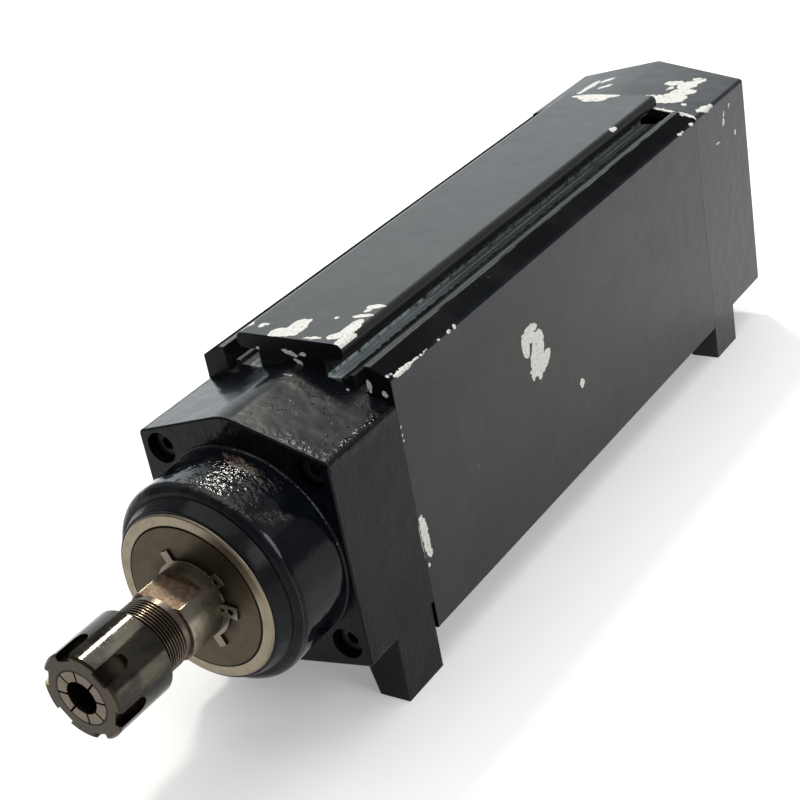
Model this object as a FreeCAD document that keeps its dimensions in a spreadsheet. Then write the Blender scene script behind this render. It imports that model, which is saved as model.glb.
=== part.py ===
import FreeCAD, Part
import math
import os
import re
import Sketcher

Vector = FreeCAD.Vector

# Driving dimensions in millimetres. Heights are taken from the spindle axis, stations run
# rearwards along it from the machined front face of the flange, unless a line says otherwise.
DIMENSIONS = {
    # Whole motor
    "shaft_height": 90.0,
    "body_width": 108.6,
    "fit_clearance": 0.02,
    "running_clearance": 0.05,
    # Extruded stator housing
    "housing_length": 326.2,
    "housing_side_top": 64.6,
    "housing_side_bottom": 69.8,
    "housing_corner_radius": 1.2,
    "stator_bore": 92.0,
    "wall_land_outer": 43.5,
    "wall_land_inner": 40.5,
    "wall_land_top": 70.1,
    "groove_floor": 57.0,
    "rib_outer": 34.2,
    "rib_width": 2.4,
    "rib_top": 64.4,
    "channel_floor": 61.6,
    "rail_neck_width": 38.0,
    "rail_width": 61.0,
    "rail_top": 79.5,
    "rail_thickness": 8.0,
    "rail_edge_radius": 3.4,
    "belly_recess_width": 44.0,
    "belly_recess_depth": 4.0,
    # Front flange casting
    "flange_depth": 53.0,
    "flange_side_top": 52.1,
    "flange_ridge_top": 67.9,
    "flange_ridge_radius": 25.0,
    "flange_side_bottom": 55.1,
    "flange_keel_bottom": 64.3,
    "flange_edge_radius": 2.5,
    "flange_front_radius": 1.2,
    "flange_spigot_length": 6.0,
    "flange_spigot_bore": 82.0,
    "nose_length": 41.5,
    "nose_diameter": 102.8,
    "nose_shoulder_reach": 31.2,
    "nose_edge_diameter": 96.2,
    "nose_edge_radius": 3.6,
    "nose_step_reach": 34.4,
    "nose_lip_diameter": 86.6,
    "nose_lip_root_diameter": 92.4,
    "nose_root_radius": 1.2,
    # Feet of both castings
    "foot_inner_bottom": 36.0,
    "foot_inner_top": 28.0,
    "foot_root_overlap": 6.0,
    "foot_hole_offset": 44.0,
    "foot_hole_diameter": 6.8,
    "foot_hole_depth": 16.0,
    "foot_edge_radius": 2.0,
    "front_foot_setback": 20.7,
    "front_foot_length": 29.5,
    "rear_foot_length": 27.5,
    # Socket head screws that hold both castings to the housing
    "screw_offset_x": 42.2,
    "screw_offset_z": 44.7,
    "screw_diameter": 8.0,
    "screw_hole_diameter": 9.0,
    "screw_head_diameter": 13.0,
    "screw_head_height": 8.0,
    "screw_socket_size": 6.0,
    "screw_socket_depth": 4.5,
    "screw_head_sunk": 4.7,
    "screw_counterbore": 16.0,
    "screw_engagement": 16.0,
    "screw_hole_spare": 4.0,
    # Rear cap casting
    "cap_length": 70.5,
    "cap_ridge_top": 77.0,
    "cap_side_top": 66.0,
    "cap_bottom": 68.0,
    "cap_wall": 5.0,
    "cap_rear_wall": 6.0,
    "cap_edge_radius": 2.5,
    "cap_boss_diameter": 15.4,
    "cap_slot_inner_radius": 16.0,
    "cap_slot_outer_radius": 38.0,
    "cap_slot_width": 3.6,
    # Front bearing pair and its spacers
    "front_bearing_bore": 40.0,
    "front_bearing_outer": 68.0,
    "front_bearing_width": 15.0,
    "front_ball_diameter": 8.6,
    "front_spacer_width": 5.0,
    "front_ring_wall": 4.5,
    "front_shoulder_height": 3.0,
    "front_shoulder_length": 8.0,
    # Rear bearing
    "rear_bearing_bore": 30.0,
    "rear_bearing_outer": 62.0,
    "rear_bearing_width": 16.0,
    "rear_ball_diameter": 9.5,
    "rear_ring_wall": 4.9,
    "rear_bearing_overlap": 7.0,
    "groove_clearance": 0.05,
    "cage_wall": 3.0,
    # Rear bearing shield
    "shield_diameter": 106.0,
    "shield_thickness": 6.0,
    "shield_side_flat": 96.0,
    "shield_hub_wall": 6.0,
    "shield_lip_thickness": 3.0,
    "shield_screw_radius": 49.4,
    "shield_screw_diameter": 4.0,
    "shield_screw_head": 7.0,
    "shield_screw_length": 14.0,
    "wave_spring_height": 2.0,
    "wave_spring_width": 2.8,
    # Nose ring and seal disc
    "ring_outer_diameter": 84.2,
    "ring_proud": 1.3,
    "ring_seat_depth": 3.0,
    "ring_spigot_length": 1.5,
    "ring_edge_chamfer": 0.8,
    "disc_diameter": 72.2,
    "disc_front_proud": 1.6,
    "disc_rim_thickness": 3.2,
    "disc_hub_diameter": 47.0,
    "disc_gap": 0.25,
    "labyrinth_gap": 0.7,
    # Spindle shaft, stations ahead of the flange face
    "shaft_nose_reach": 109.5,
    "thread_diameter": 34.4,
    "thread_end_reach": 71.4,
    "relief_diameter": 32.6,
    "collar_diameter": 36.0,
    "collar_reach": 65.9,
    "wrench_flat_size": 28.0,
    "wrench_flat_length": 15.5,
    "wrench_flat_turn": 9.9,
    # Open retaining rings on the shaft
    "clip_thickness": 1.2,
    "clip_groove_depth": 0.9,
    "clip_radial_width": 2.6,
    "clip_lug_half_width": 3.2,
    "clip_lug_reach": 6.9,
    "clip_eye_reach": 3.2,
    "clip_eye_diameter": 3.0,
    "clip_tab_half_width": 2.3,
    "clip_tab_reach": 7.9,
    "clip_tab_turn": 99.3,
    "clip_half_gap_angle": 22.0,
    "clip_gap_turn": 15.7,
    # Collet taper and bore of the shaft
    "taper_mouth_diameter": 25.9,
    "taper_depth": 30.5,
    "taper_half_angle": 8.0,
    "tool_bore_diameter": 16.6,
    "tool_bore_depth": 50.0,
    # Spindle shaft and rotor inside the housing
    "shaft_body_diameter": 38.0,
    "rotor_seat_diameter": 34.0,
    "rotor_start": 118.0,
    "rotor_length": 172.0,
    "rotor_diameter": 48.2,
    "air_gap": 0.4,
    "rotor_end_ring_length": 8.0,
    "rotor_end_ring_wall": 5.0,
    "winding_length": 26.0,
    "winding_radial_gap": 2.5,
    "winding_corner_radius": 5.0,
    # Cooling fan on the rear shaft end
    "fan_seat_diameter": 24.0,
    "fan_setback": 17.0,
    "fan_width": 20.0,
    "fan_diameter": 80.0,
    "fan_hub_diameter": 36.0,
    "fan_plate_thickness": 2.0,
    "fan_blade_thickness": 2.0,
    "fan_key_width": 6.0,
    "fan_key_length": 14.0,
    "shaft_tail_spare": 3.5,
    # Collet and clamping nut
    "collet_face_reach": 116.9,
    "collet_face_diameter": 26.6,
    "collet_bore_diameter": 16.0,
    "collet_length": 33.0,
    "collet_max_diameter": 28.2,
    "collet_nose_length": 2.6,
    "collet_groove_diameter": 24.0,
    "collet_groove_width": 2.0,
    "collet_slit_width": 0.9,
    "collet_slit_end": 4.0,
    "nut_length": 32.7,
    "nut_diameter": 42.5,
    "nut_edge_chamfer": 1.1,
    "nut_slot_width": 8.0,
    "nut_slot_length": 15.0,
    "nut_slot_wall": 0.5,
    "nut_slot_turn": 12.0,
    # Cable gland in the rear wall, without its cable
    "gland_drop": 53.5,
    "gland_thread_diameter": 16.0,
    "gland_hex_size": 20.0,
    "gland_hex_length": 6.0,
    "gland_nut_length": 11.0,
    "gland_nut_diameter": 18.4,
    "gland_cable_bore": 9.0,
    "gland_seal_wall": 1.6,
    "gland_seal_length": 8.0,
}

# Numbers of like features
FRONT_BALLS = 14
REAR_BALLS = 10
NUT_SLOTS = 6
COLLET_SLITS = 8
FAN_BLADES = 8
CAP_SLOTS = 16

# Derived sizes, as expressions on the driving dimensions
HALF_WIDTH = "body_width / 2"
FRONT_FOOT_CENTRE = "(front_foot_setback + front_foot_length / 2)"
REAR_SEAM = "(flange_depth + housing_length)"
REAR_FOOT_CENTRE = "(flange_depth + housing_length + rear_foot_length / 2)"
FLANGE_FACE = f"(-({FRONT_FOOT_CENTRE} + {REAR_FOOT_CENTRE}) / 2)"
FRONT_SEAT = "front_bearing_bore / 2"
FRONT_OUTER = "front_bearing_outer / 2"
FRONT_PITCH = "((front_bearing_bore + front_bearing_outer) / 4)"
REAR_PITCH = "((rear_bearing_bore + rear_bearing_outer) / 4)"
RING_SEAT = "(-nose_length + ring_seat_depth)"
BEARING_FRONT = f"({RING_SEAT} + ring_spigot_length)"
BEARING_BACK = f"({BEARING_FRONT} + 2 * front_bearing_width + front_spacer_width)"
REAR_BEARING_FRONT = f"({REAR_SEAM} - rear_bearing_overlap)"
DISC_FRONT = "(-nose_length - disc_front_proud)"
RING_FACE = "(-nose_length - ring_proud)"
DISC_BACK = f"({DISC_FRONT} + disc_rim_thickness)"
FAN_FRONT = f"({REAR_SEAM} + fan_setback)"
SHAFT_TAIL = f"({FAN_FRONT} + fan_width + clip_thickness + shaft_tail_spare)"
ROTOR_END = "(rotor_start + rotor_length)"

doc = FreeCAD.newDocument("spindle_motor")
sheet = doc.addObject("Spreadsheet::Sheet", "sheet")
parts = []
cuts = []


def fill_sheet():
    for row, (alias, number) in enumerate(DIMENSIONS.items(), start=1):
        sheet.set(f"A{row}", str(number))
        sheet.setAlias(f"A{row}", alias)
    doc.recompute()


def bound(text):
    """Expression text in which every driving dimension is read from the sheet."""
    return re.sub(r"[a-z_]{3,}", lambda m: f"sheet.{m[0]}" if m[0] in DIMENSIONS else m[0], str(text))


def size(text):
    return float(sheet.evalExpression(bound(text)))


def bind(item, prop, text):
    item.setExpression(prop, bound(text))


# Sub-parts and their features

def place(item, station="0", height="0", across="0", turn=0.0):
    """Puts an item on the spindle axis, at a station behind the flange face."""
    item.Placement = FreeCAD.Placement(Vector(), FreeCAD.Rotation(Vector(0, 1, 0), turn))
    bind(item, "Placement.Base.x", across)
    bind(item, "Placement.Base.y", f"{FLANGE_FACE} + {station}")
    bind(item, "Placement.Base.z", f"shaft_height + {height}")


def new_body(label, station="0", turn=0.0):
    body = doc.addObject("PartDesign::Body", label)
    body.Label = label
    place(body, station, turn=turn)
    parts.append(body)
    return body


def origin_feature(body, role):
    return [item for item in body.Origin.OriginFeatures if item.Role == role][0]


def new_sketch(body, plane, offset="0"):
    sketch = body.newObject("Sketcher::SketchObject", "outline")
    sketch.AttachmentSupport = [(origin_feature(body, plane), "")]
    sketch.MapMode = "FlatFace"
    bind(sketch, "AttachmentOffset.Base.z", offset)
    return sketch


def fix_point(sketch, geometry, point, corner):
    for kind, text in zip(("DistanceX", "DistanceY"), corner):
        index = sketch.addConstraint(Sketcher.Constraint(kind, -1, 1, geometry, point, size(text)))
        bind(sketch, f"Constraints[{index}]", text)


def add_loop(sketch, corners):
    """Closed outline of straight edges whose corners follow the sheet."""
    spots = [Vector(size(x), size(y), 0) for x, y in corners]
    first = sketch.GeometryCount
    count = len(corners)
    for i, spot in enumerate(spots):
        sketch.addGeometry(Part.LineSegment(spot, spots[(i + 1) % count]), False)
    for i in range(count):
        sketch.addConstraint(Sketcher.Constraint("Coincident", first + i, 2, first + (i + 1) % count, 1))
    for i, corner in enumerate(corners):
        fix_point(sketch, first + i, 1, corner)


def add_circle(sketch, centre, radius):
    middle = Vector(size(centre[0]), size(centre[1]), 0)
    geometry = sketch.addGeometry(Part.Circle(middle, Vector(0, 0, 1), size(radius)), False)
    fix_point(sketch, geometry, 3, centre)
    index = sketch.addConstraint(Sketcher.Constraint("Radius", geometry, size(radius)))
    bind(sketch, f"Constraints[{index}]", radius)


def add_rectangle(sketch, left, low, right, high):
    add_loop(sketch, [(left, low), (right, low), (right, high), (left, high)])


def mirrored(half):
    """Closes a right-hand half outline, given from bottom centre to top centre."""
    left = [(f"-({x})", z) for x, z in reversed(half) if x != "0"]
    return half + left


def revolve(body, corners, kind="PartDesign::Revolution"):
    """Turns an outline of (station, radius) corners about the spindle axis."""
    sketch = new_sketch(body, "YZ_Plane")
    add_loop(sketch, corners)
    return revolve_sketch(body, sketch, kind)


def revolve_sketch(body, sketch, kind):
    feature = body.newObject(kind, "turned")
    feature.Profile = sketch
    feature.ReferenceAxis = (sketch, ["H_Axis"])
    feature.Angle = 360
    if kind == "PartDesign::Groove":
        cuts.append(feature)
    return feature


def pad(body, sketch, length, rearwards=True):
    feature = body.newObject("PartDesign::Pad", "pad")
    feature.Profile = sketch
    feature.Reversed = rearwards
    bind(feature, "Length", length)
    return feature


def pocket(body, sketch, length, backwards=False):
    feature = body.newObject("PartDesign::Pocket", "pocket")
    feature.Profile = sketch
    feature.Reversed = backwards
    bind(feature, "Length", length)
    cuts.append(feature)
    return feature


def repeat_round(body, feature, count):
    pattern = body.newObject("PartDesign::PolarPattern", "repeat")
    pattern.Originals = [feature]
    pattern.Axis = (origin_feature(body, "Y_Axis"), [""])
    pattern.Angle = 360
    pattern.Occurrences = count
    body.Tip = pattern
    return pattern


def mirror_over(body, feature, plane):
    pattern = body.newObject("PartDesign::Mirrored", "mirror")
    pattern.Originals = [feature]
    pattern.MirrorPlane = (origin_feature(body, plane), [""])
    body.Tip = pattern
    return pattern


def soften(body, radius, wanted, kind="PartDesign::Fillet"):
    """Rounds or chamfers the edges of the body's last feature that the test wants."""
    doc.recompute()
    base = body.Tip
    names = [f"Edge{i}" for i, edge in enumerate(base.Shape.Edges, start=1) if wanted(edge)]
    if not names:
        raise RuntimeError(f"no edge to soften on {body.Label}")
    feature = body.newObject(kind, "softened")
    feature.Base = (base, names)
    bind(feature, "Radius" if kind.endswith("Fillet") else "Size", radius)
    return feature


def curve_kind(edge):
    return "" if edge.Degenerated else edge.Curve.TypeId


def runs_along(edge, axis):
    ends = [vertex.Point for vertex in edge.Vertexes]
    if len(ends) != 2 or curve_kind(edge) != "Part::GeomLine":
        return False
    others = [i for i in range(3) if i != axis]
    return all(abs(ends[0][i] - ends[1][i]) < 1e-4 for i in others)


def edge_through(axis, spots):
    """Test for straight edges along an axis that pass one of the given spots of the section."""
    others = [i for i in range(3) if i != axis]

    def wanted(edge):
        if not runs_along(edge, axis):
            return False
        point = edge.Vertexes[0].Point
        return any(all(abs(point[i] - value) < 1e-3 for i, value in zip(others, spot)) for spot in spots)

    return wanted


def round_edge(station, radius):
    """Test for the circular edge about the spindle axis at a station of the body."""

    def wanted(edge):
        return (curve_kind(edge) == "Part::GeomCircle" and abs(edge.BoundBox.YMax - size(station)) < 1e-4
                and abs(edge.Curve.Radius - size(radius)) < 1e-3)

    return wanted


# Roof-shaped outlines of the two castings and the shared feet

def roof_outline(keel, side_bottom, side_top, ridge, inset="0"):
    """Six or five sided section of a casting, seen along the spindle."""
    side = f"({HALF_WIDTH} - {inset})"
    return mirrored([("0", f"-{keel} + {inset}"), (side, f"-{side_bottom} + {inset}"),
                     (side, f"{side_top} - {inset}"), ("0", f"{ridge} - {inset}")])


def add_feet(body, setback, length, root_drop):
    """Two corner feet whose outer sides are flush with the casting."""
    sketch = new_sketch(body, "XZ_Plane", f"-({setback})")
    outer = f"({HALF_WIDTH})"
    root_top = f"-{root_drop} + foot_root_overlap"
    for sign in ("", "-"):
        add_loop(sketch, [(f"{sign}foot_inner_bottom", "-shaft_height"), (f"{sign}{outer}", "-shaft_height"),
                          (f"{sign}{outer}", root_top), (f"{sign}foot_inner_bottom", root_top),
                          (f"{sign}foot_inner_top", f"-{root_drop}")])
    pad(body, sketch, length)
    low = -size("shaft_height")
    inner = size("foot_inner_bottom")

    def inner_corner(edge):
        ends = sorted((vertex.Point for vertex in edge.Vertexes), key=lambda point: point.z)
        foot, root = ends[0], ends[-1]
        return abs(foot.z - low) < 1e-3 and root.z > low + 1 and abs(foot.x) < inner + 1e-3

    soften(body, "foot_edge_radius", inner_corner)


def drill_feet(body, setback, length):
    sketch = new_sketch(body, "XY_Plane", "-shaft_height")
    for sign in ("", "-"):
        add_circle(sketch, (f"{sign}foot_hole_offset", f"{setback} + {length} / 2"), "foot_hole_diameter / 2")
    pocket(body, sketch, "foot_hole_depth", backwards=True)


def screw_spots():
    return [(f"{a}screw_offset_x", f"{b}screw_offset_z") for a in ("", "-") for b in ("", "-")]


def drill_screw_holes(body, plane_offset, diameter, depth, backwards):
    sketch = new_sketch(body, "XZ_Plane", plane_offset)
    for spot in screw_spots():
        add_circle(sketch, spot, f"{diameter} / 2")
    pocket(body, sketch, depth, backwards)


# Front flange: one casting with the bearing nose and the front feet

def make_front_flange():
    body = new_body("front_flange")
    sketch = new_sketch(body, "XZ_Plane")
    add_loop(sketch, roof_outline("flange_keel_bottom", "flange_side_bottom", "flange_side_top",
                                  "flange_ridge_top"))
    pad(body, sketch, "flange_depth")
    half = size(HALF_WIDTH)
    side_edges = [(x, z) for x in (half, -half) for z in (size("flange_side_top"), -size("flange_side_bottom"))]
    soften(body, "flange_edge_radius", edge_through(1, side_edges))
    soften(body, "flange_ridge_radius", edge_through(1, [(0, size("flange_ridge_top"))]))
    soften(body, "flange_front_radius", lambda edge: abs(edge.BoundBox.YMax) < 1e-4)

    revolve(body, [("-nose_length", "0"), ("-nose_length", "nose_lip_diameter / 2"),
                   ("-nose_step_reach", "nose_lip_root_diameter / 2"),
                   ("-nose_step_reach", "nose_edge_diameter / 2"),
                   ("-nose_shoulder_reach", "nose_diameter / 2"), ("flange_depth / 2", "nose_diameter / 2"),
                   ("flange_depth / 2", "0")])
    soften(body, "nose_root_radius", round_edge("0", "nose_diameter / 2"))
    soften(body, "nose_edge_radius", round_edge("-nose_step_reach", "nose_edge_diameter / 2"))
    soften(body, "nose_edge_radius", round_edge("-nose_shoulder_reach", "nose_diameter / 2"))
    soften(body, "ring_edge_chamfer", round_edge("-nose_length", "nose_lip_diameter / 2"))

    add_feet(body, "front_foot_setback", "front_foot_length", "flange_side_bottom")
    spigot = new_sketch(body, "XZ_Plane", "-flange_depth + 1")
    add_circle(spigot, ("0", "0"), "stator_bore / 2 - fit_clearance")
    pad(body, spigot, "flange_spigot_length + 1")

    ring_seat = "ring_outer_diameter / 2 + fit_clearance"
    revolve(body, [("-nose_length - 1", "0"), ("-nose_length - 1", ring_seat), (RING_SEAT, ring_seat),
                   (RING_SEAT, FRONT_OUTER), (BEARING_BACK, FRONT_OUTER),
                   (BEARING_BACK, f"{FRONT_OUTER} - front_shoulder_height"),
                   (f"{BEARING_BACK} + front_shoulder_length", f"{FRONT_OUTER} - front_shoulder_height"),
                   ("flange_depth / 2 - 4", "flange_spigot_bore / 2"),
                   ("flange_depth + flange_spigot_length + 1", "flange_spigot_bore / 2"),
                   ("flange_depth + flange_spigot_length + 1", "0")], "PartDesign::Groove")
    drill_screw_holes(body, "nose_length", "screw_counterbore",
                      "nose_length + screw_head_sunk + screw_head_height", False)
    drill_screw_holes(body, "0", "screw_hole_diameter", "flange_depth + 1", False)
    drill_feet(body, "front_foot_setback", "front_foot_length")


# Stator housing: aluminium extrusion with a T-rail, open cooling channels and roofed side walls

def housing_section():
    neck = "rail_neck_width / 2"
    rail = "rail_width / 2"
    under = "rail_top - rail_thickness"
    rib_inner = "rib_outer - rib_width"
    recess = "belly_recess_width / 2"
    recess_top = "-housing_side_bottom + belly_recess_depth"
    return mirrored([
        ("0", recess_top), (f"{recess} - belly_recess_depth", recess_top), (recess, "-housing_side_bottom"),
        (HALF_WIDTH, "-housing_side_bottom"), (HALF_WIDTH, "housing_side_top"),
        ("wall_land_outer", "wall_land_top"), ("wall_land_inner", "wall_land_top"),
        ("wall_land_inner", "groove_floor"), ("rib_outer", "groove_floor"), ("rib_outer", "rib_top"),
        (rib_inner, "rib_top"), (f"{rib_inner} - 1", "channel_floor + 0.8"), (neck, "channel_floor"),
        (neck, under), (rail, under), (rail, "rail_top"), ("0", "rail_top")])


def make_stator_housing():
    body = new_body("stator_housing", "flange_depth")
    sketch = new_sketch(body, "XZ_Plane")
    add_loop(sketch, housing_section())
    pad(body, sketch, "housing_length")
    half = size(HALF_WIDTH)
    rail = size("rail_width / 2")
    rail_levels = (size("rail_top"), size("rail_top - rail_thickness"))
    soften(body, "rail_edge_radius", edge_through(1, [(x, z) for x in (rail, -rail) for z in rail_levels]))
    wall_levels = (size("housing_side_top"), -size("housing_side_bottom"))
    soften(body, "housing_corner_radius",
           edge_through(1, [(x, z) for x in (half, -half) for z in wall_levels]))
    bore = new_sketch(body, "XZ_Plane")
    add_circle(bore, ("0", "0"), "stator_bore / 2")
    pocket(body, bore, "housing_length + 1")
    hole = "screw_diameter + 2 * fit_clearance"
    depth = "screw_engagement + screw_hole_spare"
    drill_screw_holes(body, "0", f"({hole})", depth, False)
    drill_screw_holes(body, "-housing_length", f"({hole})", depth, True)
    shield_holes = new_sketch(body, "XZ_Plane", "-housing_length")
    for spot in shield_screw_spots():
        add_circle(shield_holes, spot, "shield_screw_diameter / 2 + fit_clearance")
    pocket(body, shield_holes, "shield_screw_length", backwards=True)


# Rear cap: casting with the rear feet, four screw columns and the air inlet slots

def make_rear_cap():
    body = new_body("rear_cap", REAR_SEAM)
    sketch = new_sketch(body, "XZ_Plane")
    add_loop(sketch, roof_outline("cap_bottom", "cap_bottom", "cap_side_top", "cap_ridge_top"))
    pad(body, sketch, "cap_length")
    half = size(HALF_WIDTH)
    corners = [(x, z) for x in (half, -half) for z in (size("cap_side_top"), -size("cap_bottom"))]
    soften(body, "cap_edge_radius", edge_through(1, corners))
    rear = size("cap_length")
    soften(body, "cap_edge_radius", lambda edge: abs(edge.BoundBox.YMin - rear) < 1e-4)
    add_feet(body, "0", "rear_foot_length", "cap_bottom")

    cavity = new_sketch(body, "XZ_Plane")
    add_loop(cavity, roof_outline("cap_bottom", "cap_bottom", "cap_side_top", "cap_ridge_top", "cap_wall"))
    pocket(body, cavity, "cap_length - cap_rear_wall")
    columns = new_sketch(body, "XZ_Plane")
    for spot in screw_spots():
        add_circle(columns, spot, "cap_boss_diameter / 2")
    pad(body, columns, "cap_length - cap_rear_wall / 2")

    drill_screw_holes(body, "-cap_length", "screw_hole_diameter", "cap_length + 1", True)
    drill_screw_holes(body, "-cap_length", "(screw_head_diameter + 1)", "screw_head_height + 1", True)
    slot = new_sketch(body, "XZ_Plane", "-cap_length")
    add_rectangle(slot, "-cap_slot_width / 2", "cap_slot_inner_radius", "cap_slot_width / 2",
                  "cap_slot_outer_radius")
    repeat_round(body, pocket(body, slot, "cap_rear_wall + 1", backwards=True), CAP_SLOTS)
    gland_hole = new_sketch(body, "XZ_Plane", "-cap_length")
    add_circle(gland_hole, ("0", "-gland_drop"), "gland_thread_diameter / 2 + fit_clearance")
    pocket(body, gland_hole, "cap_rear_wall + 1", backwards=True)
    drill_feet(body, "0", "rear_foot_length")


# Rear shield: turned bearing carrier in the end of the housing bore

def shield_screw_spots():
    across = "shield_screw_radius / 2"
    rise = f"shield_screw_radius * {math.cos(math.radians(30))}"
    return [(f"{a}{across}", f"{b}{rise}") for a in ("", "-") for b in ("", "-")]


def make_rear_shield():
    body = new_body("rear_shield", REAR_SEAM)
    bore = "rear_bearing_outer / 2"
    spring_seat = "rear_bearing_width - rear_bearing_overlap + wave_spring_height"
    revolve(body, [("-rear_bearing_overlap", bore), ("-rear_bearing_overlap", "stator_bore / 2 - fit_clearance"),
                   ("0", "stator_bore / 2 - fit_clearance"), ("0", "shield_diameter / 2"),
                   ("shield_thickness", "shield_diameter / 2"),
                   ("shield_thickness", f"{bore} + shield_hub_wall"),
                   (f"{spring_seat} + shield_lip_thickness", f"{bore} + shield_hub_wall"),
                   (f"{spring_seat} + shield_lip_thickness", f"{bore} - rear_ring_wall"),
                   (spring_seat, f"{bore} - rear_ring_wall"), (spring_seat, bore)])
    flats = new_sketch(body, "XZ_Plane")
    for sign in ("", "-"):
        add_rectangle(flats, f"{sign}shield_side_flat / 2", "-shield_diameter", f"{sign}shield_diameter",
                      "shield_diameter")
    pocket(body, flats, "shield_thickness + 1")
    holes = new_sketch(body, "XZ_Plane")
    for spot in shield_screw_spots():
        add_circle(holes, spot, "shield_screw_diameter / 2 + 0.25")
    pocket(body, holes, "shield_thickness + 1")


# Rings on the nose

def make_nose_ring():
    body = new_body("nose_ring")
    recess = "disc_diameter / 2 + disc_gap"
    web = f"{FRONT_OUTER} - front_ring_wall"
    floor = f"{DISC_BACK} + disc_gap"
    revolve(body, [(RING_FACE, recess), (RING_FACE, "ring_outer_diameter / 2 - ring_edge_chamfer"),
                   (f"{RING_FACE} + ring_edge_chamfer", "ring_outer_diameter / 2"),
                   (RING_SEAT, "ring_outer_diameter / 2"), (RING_SEAT, f"{FRONT_OUTER} - fit_clearance"),
                   (BEARING_FRONT, f"{FRONT_OUTER} - fit_clearance"), (BEARING_FRONT, f"{web} + 0.5"),
                   (f"{BEARING_FRONT} - 1.2", f"{web} + 0.5"),
                   (f"{BEARING_FRONT} - 1.2", "disc_hub_diameter / 2 + labyrinth_gap"),
                   (floor, "disc_hub_diameter / 2 + labyrinth_gap"), (floor, recess)])


def make_seal_disc():
    body = new_body("seal_disc")
    bore = "collar_diameter / 2 + fit_clearance"
    revolve(body, [(DISC_FRONT, bore), (DISC_FRONT, "disc_diameter / 2 - 0.4"),
                   (f"{DISC_FRONT} + 0.4", "disc_diameter / 2"), (DISC_BACK, "disc_diameter / 2"),
                   (DISC_BACK, "disc_hub_diameter / 2"), (BEARING_FRONT, "disc_hub_diameter / 2"),
                   (BEARING_FRONT, bore)])


def outward(angle, reach, sideways="0"):
    """Point of a sketch at a reach along a direction, and sideways of it."""
    cosine = math.cos(math.radians(angle))
    sine = math.sin(math.radians(angle))
    return (f"({reach}) * {cosine:.9f} - ({sideways}) * {sine:.9f}",
            f"({reach}) * {sine:.9f} + ({sideways}) * {cosine:.9f}")


def add_tab(sketch, angle, half_width, inner, outer):
    corners = [(inner, f"-{half_width}"), (outer, f"-{half_width}"), (outer, half_width), (inner, half_width)]
    add_loop(sketch, [outward(angle, reach, sideways) for reach, sideways in corners])


def make_retaining_ring(label, station, groove_radius, turn=0.0, tab_turns=()):
    """Open external ring: two eyelet lugs beside its gap, and plain tabs where asked for."""
    body = new_body(label, f"{station} - clip_thickness", turn)
    outer = f"({groove_radius} + clip_radial_width)"
    sketch = new_sketch(body, "XZ_Plane")
    add_circle(sketch, ("0", "0"), outer)
    add_circle(sketch, ("0", "0"), groove_radius)
    pad(body, sketch, "clip_thickness")
    gap = new_sketch(body, "XZ_Plane")
    half_gap = size("clip_half_gap_angle")
    reach = f"2 * {outer}"
    add_loop(gap, [("0", "0"), outward(-half_gap, reach), outward(half_gap, reach)])
    pocket(body, gap, "clip_thickness + 1")
    lugs = new_sketch(body, "XZ_Plane")
    eyes = new_sketch(body, "XZ_Plane")
    inside = f"{groove_radius} + clip_radial_width / 4"
    for angle in (half_gap, -half_gap):
        add_tab(lugs, angle, "clip_lug_half_width", inside, f"{groove_radius} + clip_lug_reach")
        add_circle(eyes, outward(angle, f"{groove_radius} + clip_eye_reach"), "clip_eye_diameter / 2")
    for angle in tab_turns:
        add_tab(lugs, angle, "clip_tab_half_width", inside, f"{groove_radius} + clip_tab_reach")
    pad(body, lugs, "clip_thickness")
    pocket(body, eyes, "clip_thickness + 1")


# Spindle shaft: collet taper, thread, collar with wrench flats, bearing and rotor seats

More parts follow.
